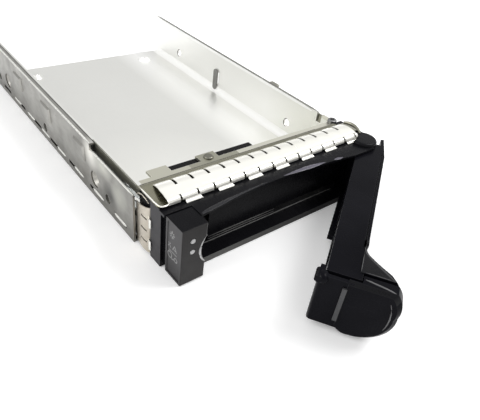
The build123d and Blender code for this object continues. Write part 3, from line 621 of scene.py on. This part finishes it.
def joined(parts):
    # Points and faces of several shapes as one
    verts, faces = [], []
    for more_verts, more_faces in parts:
        start = len(verts)
        verts += list(more_verts)
        faces += [tuple(start + i for i in face) for face in more_faces]
    return verts, faces


def arc3(a, b, c, count):
    # Points of the arc from a through b to c
    ax, ay = a
    bx, by = b
    cx, cy = c
    d = 2 * (ax * (by - cy) + bx * (cy - ay) + cx * (ay - by))
    ux = ((ax**2 + ay**2) * (by - cy) + (bx**2 + by**2) * (cy - ay) + (cx**2 + cy**2) * (ay - by)) / d
    uy = ((ax**2 + ay**2) * (cx - bx) + (bx**2 + by**2) * (ax - cx) + (cx**2 + cy**2) * (bx - ax)) / d
    radius = math.hypot(ax - ux, ay - uy)
    start = math.atan2(ay - uy, ax - ux)
    through = math.atan2(by - uy, bx - ux)
    end = math.atan2(cy - uy, cx - ux)
    sweep = (end - start) % (2 * math.pi)
    if (through - start) % (2 * math.pi) > sweep:
        sweep -= 2 * math.pi
    return [
        (ux + radius * math.cos(start + sweep * k / count), uy + radius * math.sin(start + sweep * k / count))
        for k in range(count + 1)
    ]


# Bezel

LIP_FRONT = -104.65
LIP_LEFT, LIP_RIGHT, LIP_BOW = -42.2, 35.9, 3.1
ROOF_TOP = 25.0
WALL_FACE_Y, SHELF_BACK_Y, SHELF_TOP = -96.76, -96.92, 2.78


def lip_edge(x, behind):
    # Point on the roof, a little behind its bowed front edge
    middle, half = (LIP_LEFT + LIP_RIGHT) / 2, (LIP_RIGHT - LIP_LEFT) / 2
    radius = (half**2 + LIP_BOW**2) / (2 * LIP_BOW)
    back = math.sqrt(max(radius**2 - (x - middle) ** 2, 0)) - (radius - LIP_BOW)
    return (x, LIP_FRONT + max(back, 0) + behind, ROOF_TOP)


def paint_bezel(centre, normal, index):
    # The left cheek is painted paler grey as light on that side, and the shelf's front edge is painted as a
    # reflection
    x, y, z = centre
    if x < -52.6 and normal.x < -0.9 and y < -91.0:
        return 2
    if y < -103.0 and z < 2.8 and (normal.y < -0.6 or index == 1):
        return 3
    return index


bezel = dressed(
    "bezel", "bezel_shell", 0.30, [black_plastic, black_edge_sheen, bezel_lit_cheek, shelf_edge], paint_bezel,
)
finish_piece(bezel, "caddy", ("bezel",), 0)

# Fine ribs where the recess's back wall meets the shelf, pale as painted highlights
ribs = joined([
    bead([(x, WALL_FACE_Y, 4.9) for x in (-32.2, -24, -16, -8, 1.2)], 0.12, 0.30),
    bead([(x, WALL_FACE_Y, 3.7) for x in (-32.2, -24, -16, -8, 1.2)], 0.12, 0.26),
    bead([(x, SHELF_BACK_Y, SHELF_TOP) for x in (-41.0, -30, -18, -6, 6, 18, 30, 36)], 0.30, 0.10),
])
finish_piece(piece("bezel_foot_ribs", *ribs, [rib_highlight]), "caddy")

# Raised lines along the roof's bowed lip, in paler plastics as a painted highlight and painted reflections:
# start, step, distance behind the edge, width, height, sizes
LIP_LINES = (
    ("bezel_lip_bead", lip_highlight, LIP_LEFT + 0.6, 2.4, 0.55, 0.80, 0.12,
     (0.4, 0.9, 1.0, 1.0, 0.95, 0.85, 0.7, 0.55, 0.45, 0.35, 0.3, 0.25, 0.2, 0.15)),
    ("bezel_lip_streak", lip_reflection, -2.0, 2.4, 0.42, 0.95, 0.16,
     (0.1, 0.35, 0.6, 0.8, 0.95, 1, 1, 0.85, 0.55, 0.15)),
    ("bezel_lip_streak_right", lip_reflection, 24.5, 1.2, 0.55, 0.75, 0.14, (0.15, 0.7, 1, 0.7, 0.15)),
)
for name, material, start, step, behind, wide, tall, sizes in LIP_LINES:
    line = [lip_edge(start + step * k, behind) for k in range(len(sizes))]
    finish_piece(piece(name, *bead(line, wide, tall, sizes), [material]), "caddy")


# Light block at the left

def paint_cap(centre, normal, index):
    # Colours by how light falls: a black top as painted shade, a paler grey icon face at the left as painted
    # light, and a pale finger scoop at the right as a painted reflection
    x, y, z = centre
    if normal.z > 0.8:
        return 2
    if normal.x < -0.8:
        return 3
    if x > -47.5 and abs(normal.y) < 0.95 and normal.x > 0.05 and y < -99.5 and index == 0 and 3 < z < 23:
        return 4
    return index


cap = dressed(
    "led_cap", "led_cap_shell", 0.35, [cap_plastic, cap_plastic, black_plastic, cap_lit_side, scoop_reflection],
    paint_cap, smooth=25,
)
finish_piece(cap, "caddy", ("led_cap",), 0)

LENS_X, LENS_HEIGHTS, CAP_FRONT = -47.8, (18.9, 14.2), -108.52
LENS_PROFILE = ((-0.35, 0.98), (-0.05, 0.96), (0.12, 0.78), (0.2, 0.45), (0.24, 0.15))
lenses = joined([lathe(LENS_PROFILE, (LENS_X, CAP_FRONT, z), (0, -1, 0), 28) for z in LENS_HEIGHTS])
finish_piece(piece("led_lenses", *lenses, [lens_plastic]), "caddy")

# Pale crescent on the scoop's edge, widest in its middle: a painted highlight
SCOOP_X, SCOOP_Z, SCOOP_RADIUS = -36.7, 13.04, 8.0
turns = [math.radians(6.0 * k) for k in range(-8, 9)]
crescent = bead(
    [
        (SCOOP_X - SCOOP_RADIUS * math.cos(t), CAP_FRONT + 0.35, SCOOP_Z - SCOOP_RADIUS * math.sin(t))
        for t in turns
    ],
    0.62, 0.60, [math.cos(t * 1.75) * 0.9 + 0.1 for t in turns],
)
finish_piece(piece("cap_scoop_edge", *crescent, [scoop_highlight]), "caddy")

# Generic icons printed on the cap's left face
ICON_FACE, PRINT_THICKNESS = -51.97, 0.06


def circle(radius, count=36):
    turns = [2 * math.pi * k / count for k in range(count)]
    return [(radius * math.cos(t), radius * math.sin(t)) for t in turns]


def printed(outline, y, z, hole=()):
    return plate(outline, (ICON_FACE, y, z), (0, -1, 0), (0, 0, 1), -PRINT_THICKNESS, hole)


def printed_ring(y, z, radius, wide):
    return printed(circle(radius), y, z, circle(radius - wide))


def stroke(y, z, long, wide, tilt):
    # Bar with its middle at one place of the face, turned by some degrees
    c, s = math.cos(math.radians(tilt)), math.sin(math.radians(tilt))
    corners = [(-long / 2, -wide / 2), (long / 2, -wide / 2), (long / 2, wide / 2), (-long / 2, wide / 2)]
    return printed([(a * c - b * s, a * s + b * c) for a, b in corners], y, z)


STROKES = (
    (-102.5, 19.0, 3.4, 0.55, 90), (-102.5, 19.0, 3.0, 0.5, 5), (-102.5, 19.0, 3.2, 0.45, 45),
    (-102.5, 19.0, 3.0, 0.4, -48), (-101.0, 13.9, 2.4, 0.42, 55), (-101.2, 13.8, 2.2, 0.42, -50),
    (-103.6, 14.1, 2.6, 0.42, 62), (-104.8, 14.0, 2.4, 0.42, -62), (-104.2, 13.4, 1.2, 0.38, 0),
    (-103.2, 11.6, 4.6, 0.36, 0), (-103.3, 8.6, 1.8, 0.42, 20),
)
icons = [stroke(*values) for values in STROKES]
icons += [printed_ring(-101.4, 9.6, 1.45, 0.42), printed_ring(-105.0, 9.4, 1.05, 0.40)]
finish_piece(piece("cap_icons", *joined(icons), [icon_print]), "caddy")


# Top contact strip

STRIP_LEFT, STRIP_RIGHT, FINGERS = -49.6, 46.4, 14
PITCH = (STRIP_RIGHT - STRIP_LEFT) / FINGERS
CLIP_FIRST, CLIP_WIDTH = -42.9, 6.3

# Widths of the slits, how far they reach from the rear and the front edge, and the front ones' places
REAR_SLIT, REAR_SLIT_START = 1.1, 8.3
FRONT_SLIT, FRONT_SLIT_END = 0.9, 3.6
FRONT_SLIT_OUT, FRONT_SLIT_IN = 1.5, 0.9
FINGER_DROOP, FINGER_SLANT, SLANT_START = 0.10, 0.17, 8.0
BASE_TOP = 26.0
SHEET, THIN_SHEET = 0.3, 0.25


def strip_profile():
    # Side view of a finger from its front edge over the crown to the rear
    front = [(2.1, 25.72), (2.1, 26.0), (2.1, 26.25)]
    curl = arc3((2.1, 26.25), (2.572, 27.339), (3.9, 27.8), 9)
    crown = arc3((3.9, 27.8), (7.2, 28.48), (14.3, 26.4), 22)
    line = front + curl[1:] + crown[1:]
    return [(HINGE_Y + y, z) for y, z in line]


def strip_fingers():
    profile = strip_profile()
    rear_slits = [STRIP_LEFT + k * PITCH for k in range(1, FINGERS)]
    clips = [CLIP_FIRST + 2 * k * PITCH for k in range(FINGERS // 2)]
    starts = [c - FRONT_SLIT_OUT for c in clips]
    ends = [c + CLIP_WIDTH - FRONT_SLIT_IN for c in clips]
    edges = {
        middle + side * width / 2 for group, width in ((rear_slits, REAR_SLIT), (starts + ends, FRONT_SLIT))
        for middle in group for side in (-1, 1)
    }
    xs = {round(STRIP_LEFT + k * PITCH / 12, 4) for k in range(12 * FINGERS + 1)}
    xs = {x for x in xs if min(abs(x - e) for e in edges) > 0.06} | edges
    xs = sorted(x for x in xs if STRIP_LEFT <= x <= STRIP_RIGHT)
    rows = []
    for x in xs:
        share = ((x - STRIP_LEFT) / PITCH) % 1.0
        droop = FINGER_DROOP * (2 * share - 1) ** 2
        row = []
        for index, (y, z) in enumerate(profile):
            slant = FINGER_SLANT * max(0.0, y - HINGE_Y - SLANT_START)
            row.append((x + slant * min(1.0, (STRIP_RIGHT - x) / 3), y, z - droop * min(1.0, index / 8)))
        rows.append(row)

    def cut(i, j):
        middle = (xs[i] + xs[i + 1]) / 2
        y = (profile[j][0] + profile[j + 1][0]) / 2 - HINGE_Y
        if y > REAR_SLIT_START and any(abs(middle - m) < REAR_SLIT / 2 for m in rear_slits):
            return True
        if y < FRONT_SLIT_END and any(abs(middle - m) < FRONT_SLIT / 2 for m in starts + ends):
            return True
        return j < 2 and any(a < middle < b for a, b in zip(starts, ends))

    return grid(rows, cut)


fingers = sheet_piece("strip_fingers", *strip_fingers(), [bright_strip], SHEET, -1)
finish_piece(fingers, "caddy", ("emi_strip_top",))


def strip_clips():
    # Folded tabs below the fingers' front edge
    line = (
        (2.60, 26.12), (2.25, 26.08), (2.12, 25.95), (2.05, 25.72), (1.92, 25.54), (1.70, 25.44),
        (1.30, 25.38), (1.0, 25.34),
    )
    parts = []
    for k in range(FINGERS // 2):
        left = CLIP_FIRST + 2 * k * PITCH
        rows = []
        for y, z in line:
            flare = 0.15 if y < 1.5 else 0.0
            rows.append([
                (left - flare + (CLIP_WIDTH + 2 * flare) * t / 6, HINGE_Y + y, z) for t in range(7)
            ])
        parts.append(grid(rows))
    return joined(parts)


clips = sheet_piece("strip_clips", *strip_clips(), [bright_strip], SHEET, -1)
finish_piece(clips, "caddy")


def strip_base():
    # Flat base, its left margin turned up into a rolled rim and its rear edge bent down
    section = [
        (-53.35, 26.75), (-53.30, 26.45), (-53.05, 26.15), (-52.4, 26.02), (-51.0, BASE_TOP),
        (-49.0, BASE_TOP),
    ]
    section += [(-49.0 + (STRIP_RIGHT + 49.0) * k / 20, BASE_TOP) for k in range(1, 21)]
    rows = []
    for y in (2.35, 3.2, 5.0, 7.5, 10.0, 12.5, 14.5, 15.6, 16.4, 16.85):
        lift = 0.0 if y > 3 else 0.15
        drop = 0.25 * max(0.0, y - 15.6)
        rows.append([(x, HINGE_Y + y, z + (lift if x < -51 else 0) - drop) for x, z in section])
    return grid(rows)


# The base is dark olive steel: painted shade under the fingers
base = sheet_piece("strip_base", *strip_base(), [trough], SHEET - 0.02, -1)
finish_piece(base, "caddy")

# Rolled rim at the base's left end
RIM_PATH = [
    (-53.2, HINGE_Y + 15.3, 26.55), (-53.25, HINGE_Y + 12, 26.65), (-53.25, HINGE_Y + 8, 26.65),
    (-53.2, HINGE_Y + 5, 26.6), (-53.0, HINGE_Y + 3.6, 26.45), (-52.5, HINGE_Y + 2.7, 26.25),
    (-51.6, HINGE_Y + 2.3, 26.1), (-50.5, HINGE_Y + 2.2, 26.1), (-49.3, HINGE_Y + 2.3, 26.2),
]
finish_piece(piece("strip_rim", *bead(RIM_PATH, 0.32, 0.34), [bright_strip]), "caddy")


def strip_end():
    # Rounded right end of the fingers, in darker olive steel as painted shade
    profile = [(y, z) for y, z in strip_profile()[3:] if y > HINGE_Y + 4.6]
    rows = []
    for k in range(8):
        turn = math.pi / 2 * k / 7
        x = STRIP_RIGHT - 0.1 + 4.0 * math.sin(turn)
        back = 1.2 * (1 - math.cos(turn))
        fall = math.cos(turn) * 0.97
        rows.append([
            (x, y + (back if y < HINGE_Y + 7 else 0), BASE_TOP + (z - BASE_TOP) * fall) for y, z in profile
        ])
    return grid(rows)


end_cap = sheet_piece("strip_end", *strip_end(), [end_shade_steel], THIN_SHEET, -1)
finish_piece(end_cap, "caddy")

# Thick rolled rim round that end, also in painted shade
END_PATH = [
    (50.6, -84.0, 26.5), (51.5, -85.6, 26.7), (51.9, -87.4, 26.8), (51.8, -89.4, 26.8), (51.2, -91.4, 26.7),
    (50.3, -93.2, 26.6), (49.2, -94.8, 26.4),
]
end_roll = bead(END_PATH, 0.75, 1.0, (0.6, 0.9, 1.0, 1.0, 0.95, 0.85, 0.6))
finish_piece(piece("strip_end_roll", *end_roll, [end_shade_steel]), "caddy")


# Side contact strips

SIDE_OUTER, SIDE_FRONT, CHEEK = 52.0, -89.4, 53.1
SIDE_LEVELS = (0.8, 3.4, 5.0, 5.7, 8.6, 10.2, 10.9, 13.8, 15.4, 16.1, 18.6, 20.6)
SLIT_ROWS = (2, 5, 8)
SIDE_PROFILE = (
    (0.0, 0.30), (0.25, 0.75), (1.2, 1.12), (3.0, 1.30), (5.2, 1.20), (7.4, 0.85), (8.9, 0.55), (9.6, 0.45),
)
CLIP_LEVELS = ((3.6, 7.6), (13.7, 17.5))
TOP_RISE, TOP_SLANT = 0.8, 0.33


def side_strip(side):
    # Bowed strip beside the bezel with three slits and a slanted top
    rows = []
    for z in SIDE_LEVELS:
        rise, slant = (TOP_RISE, TOP_SLANT) if z == SIDE_LEVELS[-1] else (0.0, 0.0)
        rows.append([
            (side * (SIDE_OUTER + proud), SIDE_FRONT + depth, z + rise - slant * depth)
            for depth, proud in SIDE_PROFILE
        ])
    return grid(rows, lambda i, j: i in SLIT_ROWS and 2 <= j <= 3)


def side_clips(side):
    # Two tabs folded over the cheek's rear edge
    line = (
        (-89.0, CHEEK - 0.55), (-89.35, CHEEK - 0.05), (-89.8, CHEEK + 0.28), (-90.5, CHEEK + 0.30),
        (-91.2, CHEEK + 0.26),
    )
    parts = []
    for low, high in CLIP_LEVELS:
        rows = [[(side * x, y, low + (high - low) * t / 4) for t in range(5)] for y, x in line]
        parts.append(grid(rows))
    return joined(parts)


for side, word in ((-1, "left"), (1, "right")):
    strip = sheet_piece("side_strip_" + word, *side_strip(side), [dull_strip], SHEET, 0)
    finish_piece(strip, "caddy", ("emi_strip_" + word,))
    tabs = sheet_piece("side_clips_" + word, *side_clips(side), [bright_strip], THIN_SHEET, 0)
    finish_piece(tabs, "caddy")
    curl_path = [
        (side * 52.9, -80.6, 22.0), (side * 52.8, -82.2, 23.3), (side * 52.7, -84.4, 23.9),
        (side * 52.6, -86.6, 23.5), (side * 52.5, -88.4, 22.6),
    ]
    curl = piece("side_curl_" + word, *bead(curl_path, 0.22, 0.22), [dull_strip])
    finish_piece(curl, "caddy")


# Tray and guard

WALL_INSIDE, WALL_MIDDLE, WALL_OUTSIDE = 50.9, 51.5, 51.9
SCREW_YS, SCREW_HEIGHT = (-49.45, 52.15), 9.35
BEND_SECTION = (
    (48.2, 1.03), (48.9, 1.12), (49.6, 1.42), (50.15, 1.92), (50.5, 2.6), (50.72, 3.4), (50.86, 4.3),
)

# Near-white sheet on the bend between the tray's floor and its right wall: a painted highlight
bend_rows = [[(x, -78.0 + 3.95 * k, z) for x, z in BEND_SECTION] for k in range(41)]
bend = sheet_piece("tray_bend", *grid(bend_rows), [bend_highlight_steel], 0.05, 0)
finish_piece(bend, "caddy")

# Painted highlight line inside the right wall's top edge, and the rounded edge itself in painted shade
edge_points = [(WALL_INSIDE - 0.04, y, 23.0) for y in range(-64, 81, 4)]
finish_piece(piece("wall_edge_light", *bead(edge_points, 0.12, 0.60), [bend_highlight_steel]), "caddy")
edge_shade_points = [(WALL_MIDDLE, y, 23.9) for y in range(-68, 81, 4)]
finish_piece(piece("wall_edge_shade", *bead(edge_shade_points, 0.62, 0.42), [edge_shade_steel]), "caddy")

# Shaded rim on the rear half of each screw hole
RIM_RADIUS = 2.15
rim_turns = [math.radians(-85 + 17 * k) for k in range(11)]
rims = [
    bead(
        [(WALL_INSIDE - 0.02, y + RIM_RADIUS * math.cos(t), SCREW_HEIGHT + RIM_RADIUS * math.sin(t))
         for t in rim_turns], 0.25, 0.30,
    )
    for y in SCREW_YS
]
finish_piece(piece("screw_hole_rims", *joined(rims), [edge_shade_steel]), "caddy")

# Dark plate on the right wall's inside, beside its upright slot: painted shade of a dark hole there
HOLE_SHADE_Y, HOLE_SHADE_LOW, HOLE_SHADE_HIGH, HOLE_SHADE_HALF = 12.6, 3.6, 12.6, 1.7
outline = arc3((-HOLE_SHADE_HALF, 0.0), (0.0, -HOLE_SHADE_HALF), (HOLE_SHADE_HALF, 0.0), 10)
upper = arc3((HOLE_SHADE_HALF, 0.0), (0.0, HOLE_SHADE_HALF), (-HOLE_SHADE_HALF, 0.0), 10)
outline += [(y, z + HOLE_SHADE_HIGH - HOLE_SHADE_LOW) for y, z in upper]
hole_shade = plate(outline, (WALL_INSIDE + 0.02, HOLE_SHADE_Y, HOLE_SHADE_LOW), (0, 1, 0), (0, 0, 1), -0.9)
finish_piece(piece("wall_hole_shade", *hole_shade, [hole_shade_plastic]), "caddy")

# Pressed dimples round the left wall's screw holes
DIMPLE = (
    (0.0, 1.98), (0.25, 2.05), (1.3, 3.1), (1.75, 3.45), (2.0, 3.5), (2.0, 3.3), (1.6, 2.95), (0.1, 1.9),
)
dimples = joined([lathe(DIMPLE, (-51.88, y, SCREW_HEIGHT), (-1, 0, 0)) for y in SCREW_YS])
finish_piece(piece("screw_dimples", *dimples, [dimple_steel]), "caddy")

# Small dark plate on the right wall's outside, behind its notch: painted shade seen through the notch
notch_shade = plate(
    [(-73.4, 18.6), (-66.0, 18.6), (-66.0, 23.2), (-73.4, 23.2)], (WALL_OUTSIDE + 0.05, 0, 0), (0, 1, 0),
    (0, 0, 1), 0.3,
)
finish_piece(piece("notch_shade_plate", *notch_shade, [end_shade_steel]), "caddy")

# Lower lips of the guard's slots, in paler steel as painted highlights
GUARD_FACE, LOUVRE_HEIGHT, LOUVRE_PITCH, LOUVRE_STEP = -54.4, 3.3, 18.4167, 1.566
louvres = [
    bead(
        [(GUARD_FACE + 0.1, -74.95 + k * LOUVRE_PITCH + LOUVRE_STEP * t, LOUVRE_HEIGHT) for t in range(7)],
        0.35, 0.62,
    )
    for k in range(7)
]
finish_piece(piece("guard_louvres", *joined(louvres), [guard_highlight_steel]), "caddy")

# Rounded top edge of the guard, low at the front and high behind its step, in paler steel as a painted
# highlight
front_part = [(GUARD_FACE + 0.4, -80.4 + 2.8 * k, 21.4) for k in range(13)]
rear_part = [(GUARD_FACE + 0.4, -45.9 + 4.0 * k, 24.0) for k in range(32)]
guard_edge = joined([bead(front_part, 0.42, 0.30), bead(rear_part, 0.42, 0.30)])
finish_piece(piece("guard_edge", *guard_edge, [guard_highlight_steel]), "caddy")


# Handle and release button; u runs along the open handle and v outwards from it

def arm_place(point):
    # The point's place along the open handle and outwards from it
    c, s = math.cos(OPEN_ANGLE), math.sin(OPEN_ANGLE)
    x, y = point.x - HINGE_X, point.y - HINGE_Y
    return -x * c - y * s, x * s - y * c


# Flare: places along the arm, each with the share of its reach past the arm that it keeps
FLARE = (
    (67.5, 0.0), (69.4, 0.1), (72.0, 0.34), (73.9, 0.54), (75.6, 0.60), (77.6, 0.71), (79.4, 0.82),
    (81.1, 0.93), (82, 0.95),
)
FLARE_START, FLARE_END = 67.5, 81.9
ARM_OUTSIDE, STEP_FROM, STEP_TO = 9.8, 6.8, 9.55
ARM_TOP = 24.0


def flared(u, v):
    # How far out the hollow side of the flare reaches
    share = 0.0
    for (a, low), (b, high) in zip(FLARE, FLARE[1:]):
        if a <= u <= b:
            share = low + (high - low) * (u - a) / (b - a)
    return ARM_OUTSIDE + (v - ARM_OUTSIDE) * share


def shift_step(work):
    # The raised top of the flare starts near the arm's outer side
    for vert in work.verts:
        point = vert.co / MM
        u, v = arm_place(point)
        if point.z > 23.5 and abs(v - STEP_FROM) < 0.06 and u < 81.6:
            vert.co = Vector(on_arm(u, STEP_TO, point.z)) * MM
        elif v > ARM_OUTSIDE + 0.05 and FLARE_START < u < FLARE_END:
            vert.co = Vector(on_arm(u, flared(u, v), point.z)) * MM


def paint_handle(centre, normal, index):
    # The flare's raised top is painted a little paler than the arm, as light
    u, v = arm_place(centre)
    if centre.z > 23.9 and normal.z > 0.7 and u > 66:
        return 2
    return index


arm = dressed(
    "handle", "handle_shell", 0.35, [handle_plastic, handle_edge_sheen, lit_top_plastic], paint_handle, shift_step
)
finish_piece(arm, "handle", ("handle",), 0)

# Fine painted highlight lines on the flare's top, along its outer and its inner edge and the arm's side
LINE_TOP = ARM_TOP - 0.02
flange_line = (
    (69.5, 10.75), (72.0, 12.3), (73.9, 14.1), (75.6, 16.8), (77.6, 19.0), (79.4, 20.4), (81.1, 21.3),
)
flange_edge = bead([on_arm(u, flared(u, v) - 0.45, LINE_TOP) for u, v in flange_line], 0.30, 0.10)
inner_edge = bead([on_arm(81.1, v, LINE_TOP) for v in (11.0, 13.0, 15.0, 17.0, 18.6)], 0.16, 0.08)
arm_edge = bead([on_arm(u, 9.62, LINE_TOP) for u in (73.0, 75.0, 77.0, 79.0, 81.0)], 0.16, 0.08)
edge_lines = piece("handle_edge_lines", *joined([flange_edge, inner_edge, arm_edge]), [ridge_highlight])
finish_piece(edge_lines, "handle")


def paint_button(centre, normal, index):
    # Ridge down the face painted grey as a highlight, and the disc's top rim painted paler as light
    u, v = arm_place(centre)
    if 5.4 < v < 7.2 and u > 87.35:
        return 2
    if u > 85.9 and 0.25 < normal.z < 0.95 and centre.z > 21:
        return 3
    return index


button = dressed(
    "release_button", "release_button_shell", 0.45,
    [handle_plastic, handle_edge_sheen, ridge_highlight, lit_top_plastic], paint_button,
)
finish_piece(button, "button", ("release_button",), 0)

# Painted highlights: a light rim on the disc's top edge and a thin crescent on its face
rim_top = ((84.2, 11.3), (84.4, 12.8), (84.7, 14.2), (85.0, 16.0), (85.3, 17.6), (85.8, 19.4), (86.2, 20.6))
disc_side = ((20.2, 20.4), (20.9, 18.8), (21.4, 16.8), (21.7, 14.6), (21.7, 12.4), (21.5, 10.4), (21.1, 8.8))
rim_line = joined([
    bead([on_arm(u, v, ARM_TOP) for u, v in rim_top], 0.30, 0.12),
    bead([on_arm(87.46, v, z) for v, z in disc_side], 0.22, 0.22, (0.3, 0.7, 1.0, 1.0, 1.0, 0.7, 0.3)),
])
finish_piece(piece("button_rim_line", *rim_line, [disc_rim_highlight]), "button")

# Knob at the button's upper inner corner
KNOB = ((0.0, 1.1), (0.25, 1.55), (0.7, 1.75), (2.9, 1.75), (3.4, 1.5), (3.75, 1.0), (3.85, 0.4))
along = Vector(on_arm(1, 0, 0)) - Vector(on_arm(0, 0, 0))
knob = lathe(KNOB, on_arm(84.5, -0.95, 22.0), along, 28)
finish_piece(piece("button_knob", *knob, [handle_plastic]), "button")


# Floor, light and camera

def floor():
    mesh = bpy.data.meshes.new("floor")
    half = FLOOR_HALF
    corners = [(-half, -half, 0), (half, -half, 0), (half, half, 0), (-half, half, 0)]
    mesh.from_pydata(corners, [], [(0, 1, 2, 3)])
    obj = link(bpy.data.objects.new("floor", mesh))
    obj.location.z = -FLOOR_BELOW * MM
    m = Nodes("floor_white")
    tone = m.noise(3.0)
    base = m.mix(m.spread(tone, "Fac", 0, 1), "Result", (0.93, 0.93, 0.93), (0.95, 0.95, 0.95))
    m.tree.links.new(base, m.shader.inputs["Base Color"])
    m.shader.inputs["Roughness"].default_value = 0.7
    m.shader.inputs["Specular IOR Level"].default_value = 0.2
    # Seen directly, in gloss or through glass it glows, so that unshaded floor is white
    rays = m.add("ShaderNodeLightPath")
    first = m.add("ShaderNodeMath", operation="MAXIMUM")
    m.link(rays, "Is Camera Ray", first, 0)
    m.link(rays, "Is Glossy Ray", first, 1)
    seen = m.add("ShaderNodeMath", operation="MAXIMUM")
    m.link(first, "Value", seen, 0)
    m.link(rays, "Is Transmission Ray", seen, 1)
    # Far from the part the lamps are weak, and a stronger glow makes up for them
    place = m.add("ShaderNodeTexCoord")
    away = m.add("ShaderNodeVectorMath", operation="LENGTH")
    m.link(place, "Object", away, 0)
    strength = m.spread(away, "Value", NEAR_GLOW, FAR_GLOW, GLOW_FROM, GLOW_TO)
    glow = m.add("ShaderNodeMath", operation="MULTIPLY")
    m.link(seen, "Value", glow, 0)
    m.link(strength, "Result", glow, 1)
    m.shader.inputs["Emission Color"].default_value = (1, 1, 1, 1)
    m.link(glow, "Value", m.shader, "Emission Strength")
    mesh.materials.append(m.material)


def area_light(name, place, power):
    data = bpy.data.lights.new(name, "AREA")
    data.shape = "RECTANGLE"
    data.size, data.size_y = LAMP_SIZE, LAMP_SIZE
    data.energy = power
    obj = link(bpy.data.objects.new(name, data))
    obj.location = place
    obj.rotation_euler = (Vector(LAMP_AIM) - Vector(place)).to_track_quat("-Z", "Y").to_euler()


def world():
    # White where it is seen, softer where it lights, and banded where metal mirrors it
    studio = bpy.data.worlds.new("studio")
    bpy.context.scene.world = studio
    studio.use_nodes = True
    g = Graph(studio.node_tree)
    out = g.add("ShaderNodeOutputWorld")
    place = g.add("ShaderNodeTexCoord")
    split = g.add("ShaderNodeSeparateXYZ")
    g.link(place, "Generated", split, 0)
    bands = g.ramp(split, "Z", ((0.0, 1.0), (0.10, 0.80), (0.30, 0.62), (0.55, 0.92), (1.0, 0.85)))
    seen = g.background()
    mirrored = g.background()
    g.link(bands, "Color", mirrored, "Color")
    lit = g.background(SKY_LIGHT)
    rays = g.add("ShaderNodeLightPath")
    first = g.add("ShaderNodeMixShader")
    g.link(rays, "Is Glossy Ray", first, 0)
    g.link(lit, 0, first, 1)
    g.link(mirrored, 0, first, 2)
    direct = g.add("ShaderNodeMath", operation="MAXIMUM")
    g.link(rays, "Is Camera Ray", direct, 0)
    g.link(rays, "Is Transmission Ray", direct, 1)
    second = g.add("ShaderNodeMixShader")
    g.link(direct, 0, second, 0)
    g.link(first, 0, second, 1)
    g.link(seen, 0, second, 2)
    g.link(second, 0, out, "Surface")


def camera():
    data = bpy.data.cameras.new("camera")
    data.sensor_width = SENSOR_WIDTH
    data.lens = FOCAL_PIXELS / IMAGE_WIDTH * SENSOR_WIDTH
    data.clip_start = CLIP_START
    obj = link(bpy.data.objects.new("camera", data))
    back = -Vector(CAMERA_LOOKS).normalized()
    right = Vector(CAMERA_UP).cross(back).normalized()
    up = back.cross(right)
    turn = Matrix((right, up, back)).transposed().to_4x4()
    obj.matrix_world = Matrix.Translation(Vector(CAMERA_PLACE) * MM) @ turn
    bpy.context.scene.camera = obj


bpy.context.scene.view_settings.view_transform = "Standard"
floor()
world()
area_light("key", (0.55, -0.30, 0.75), 6.0)
area_light("fill", (-0.60, 0.10, 0.55), 2.5)
camera()
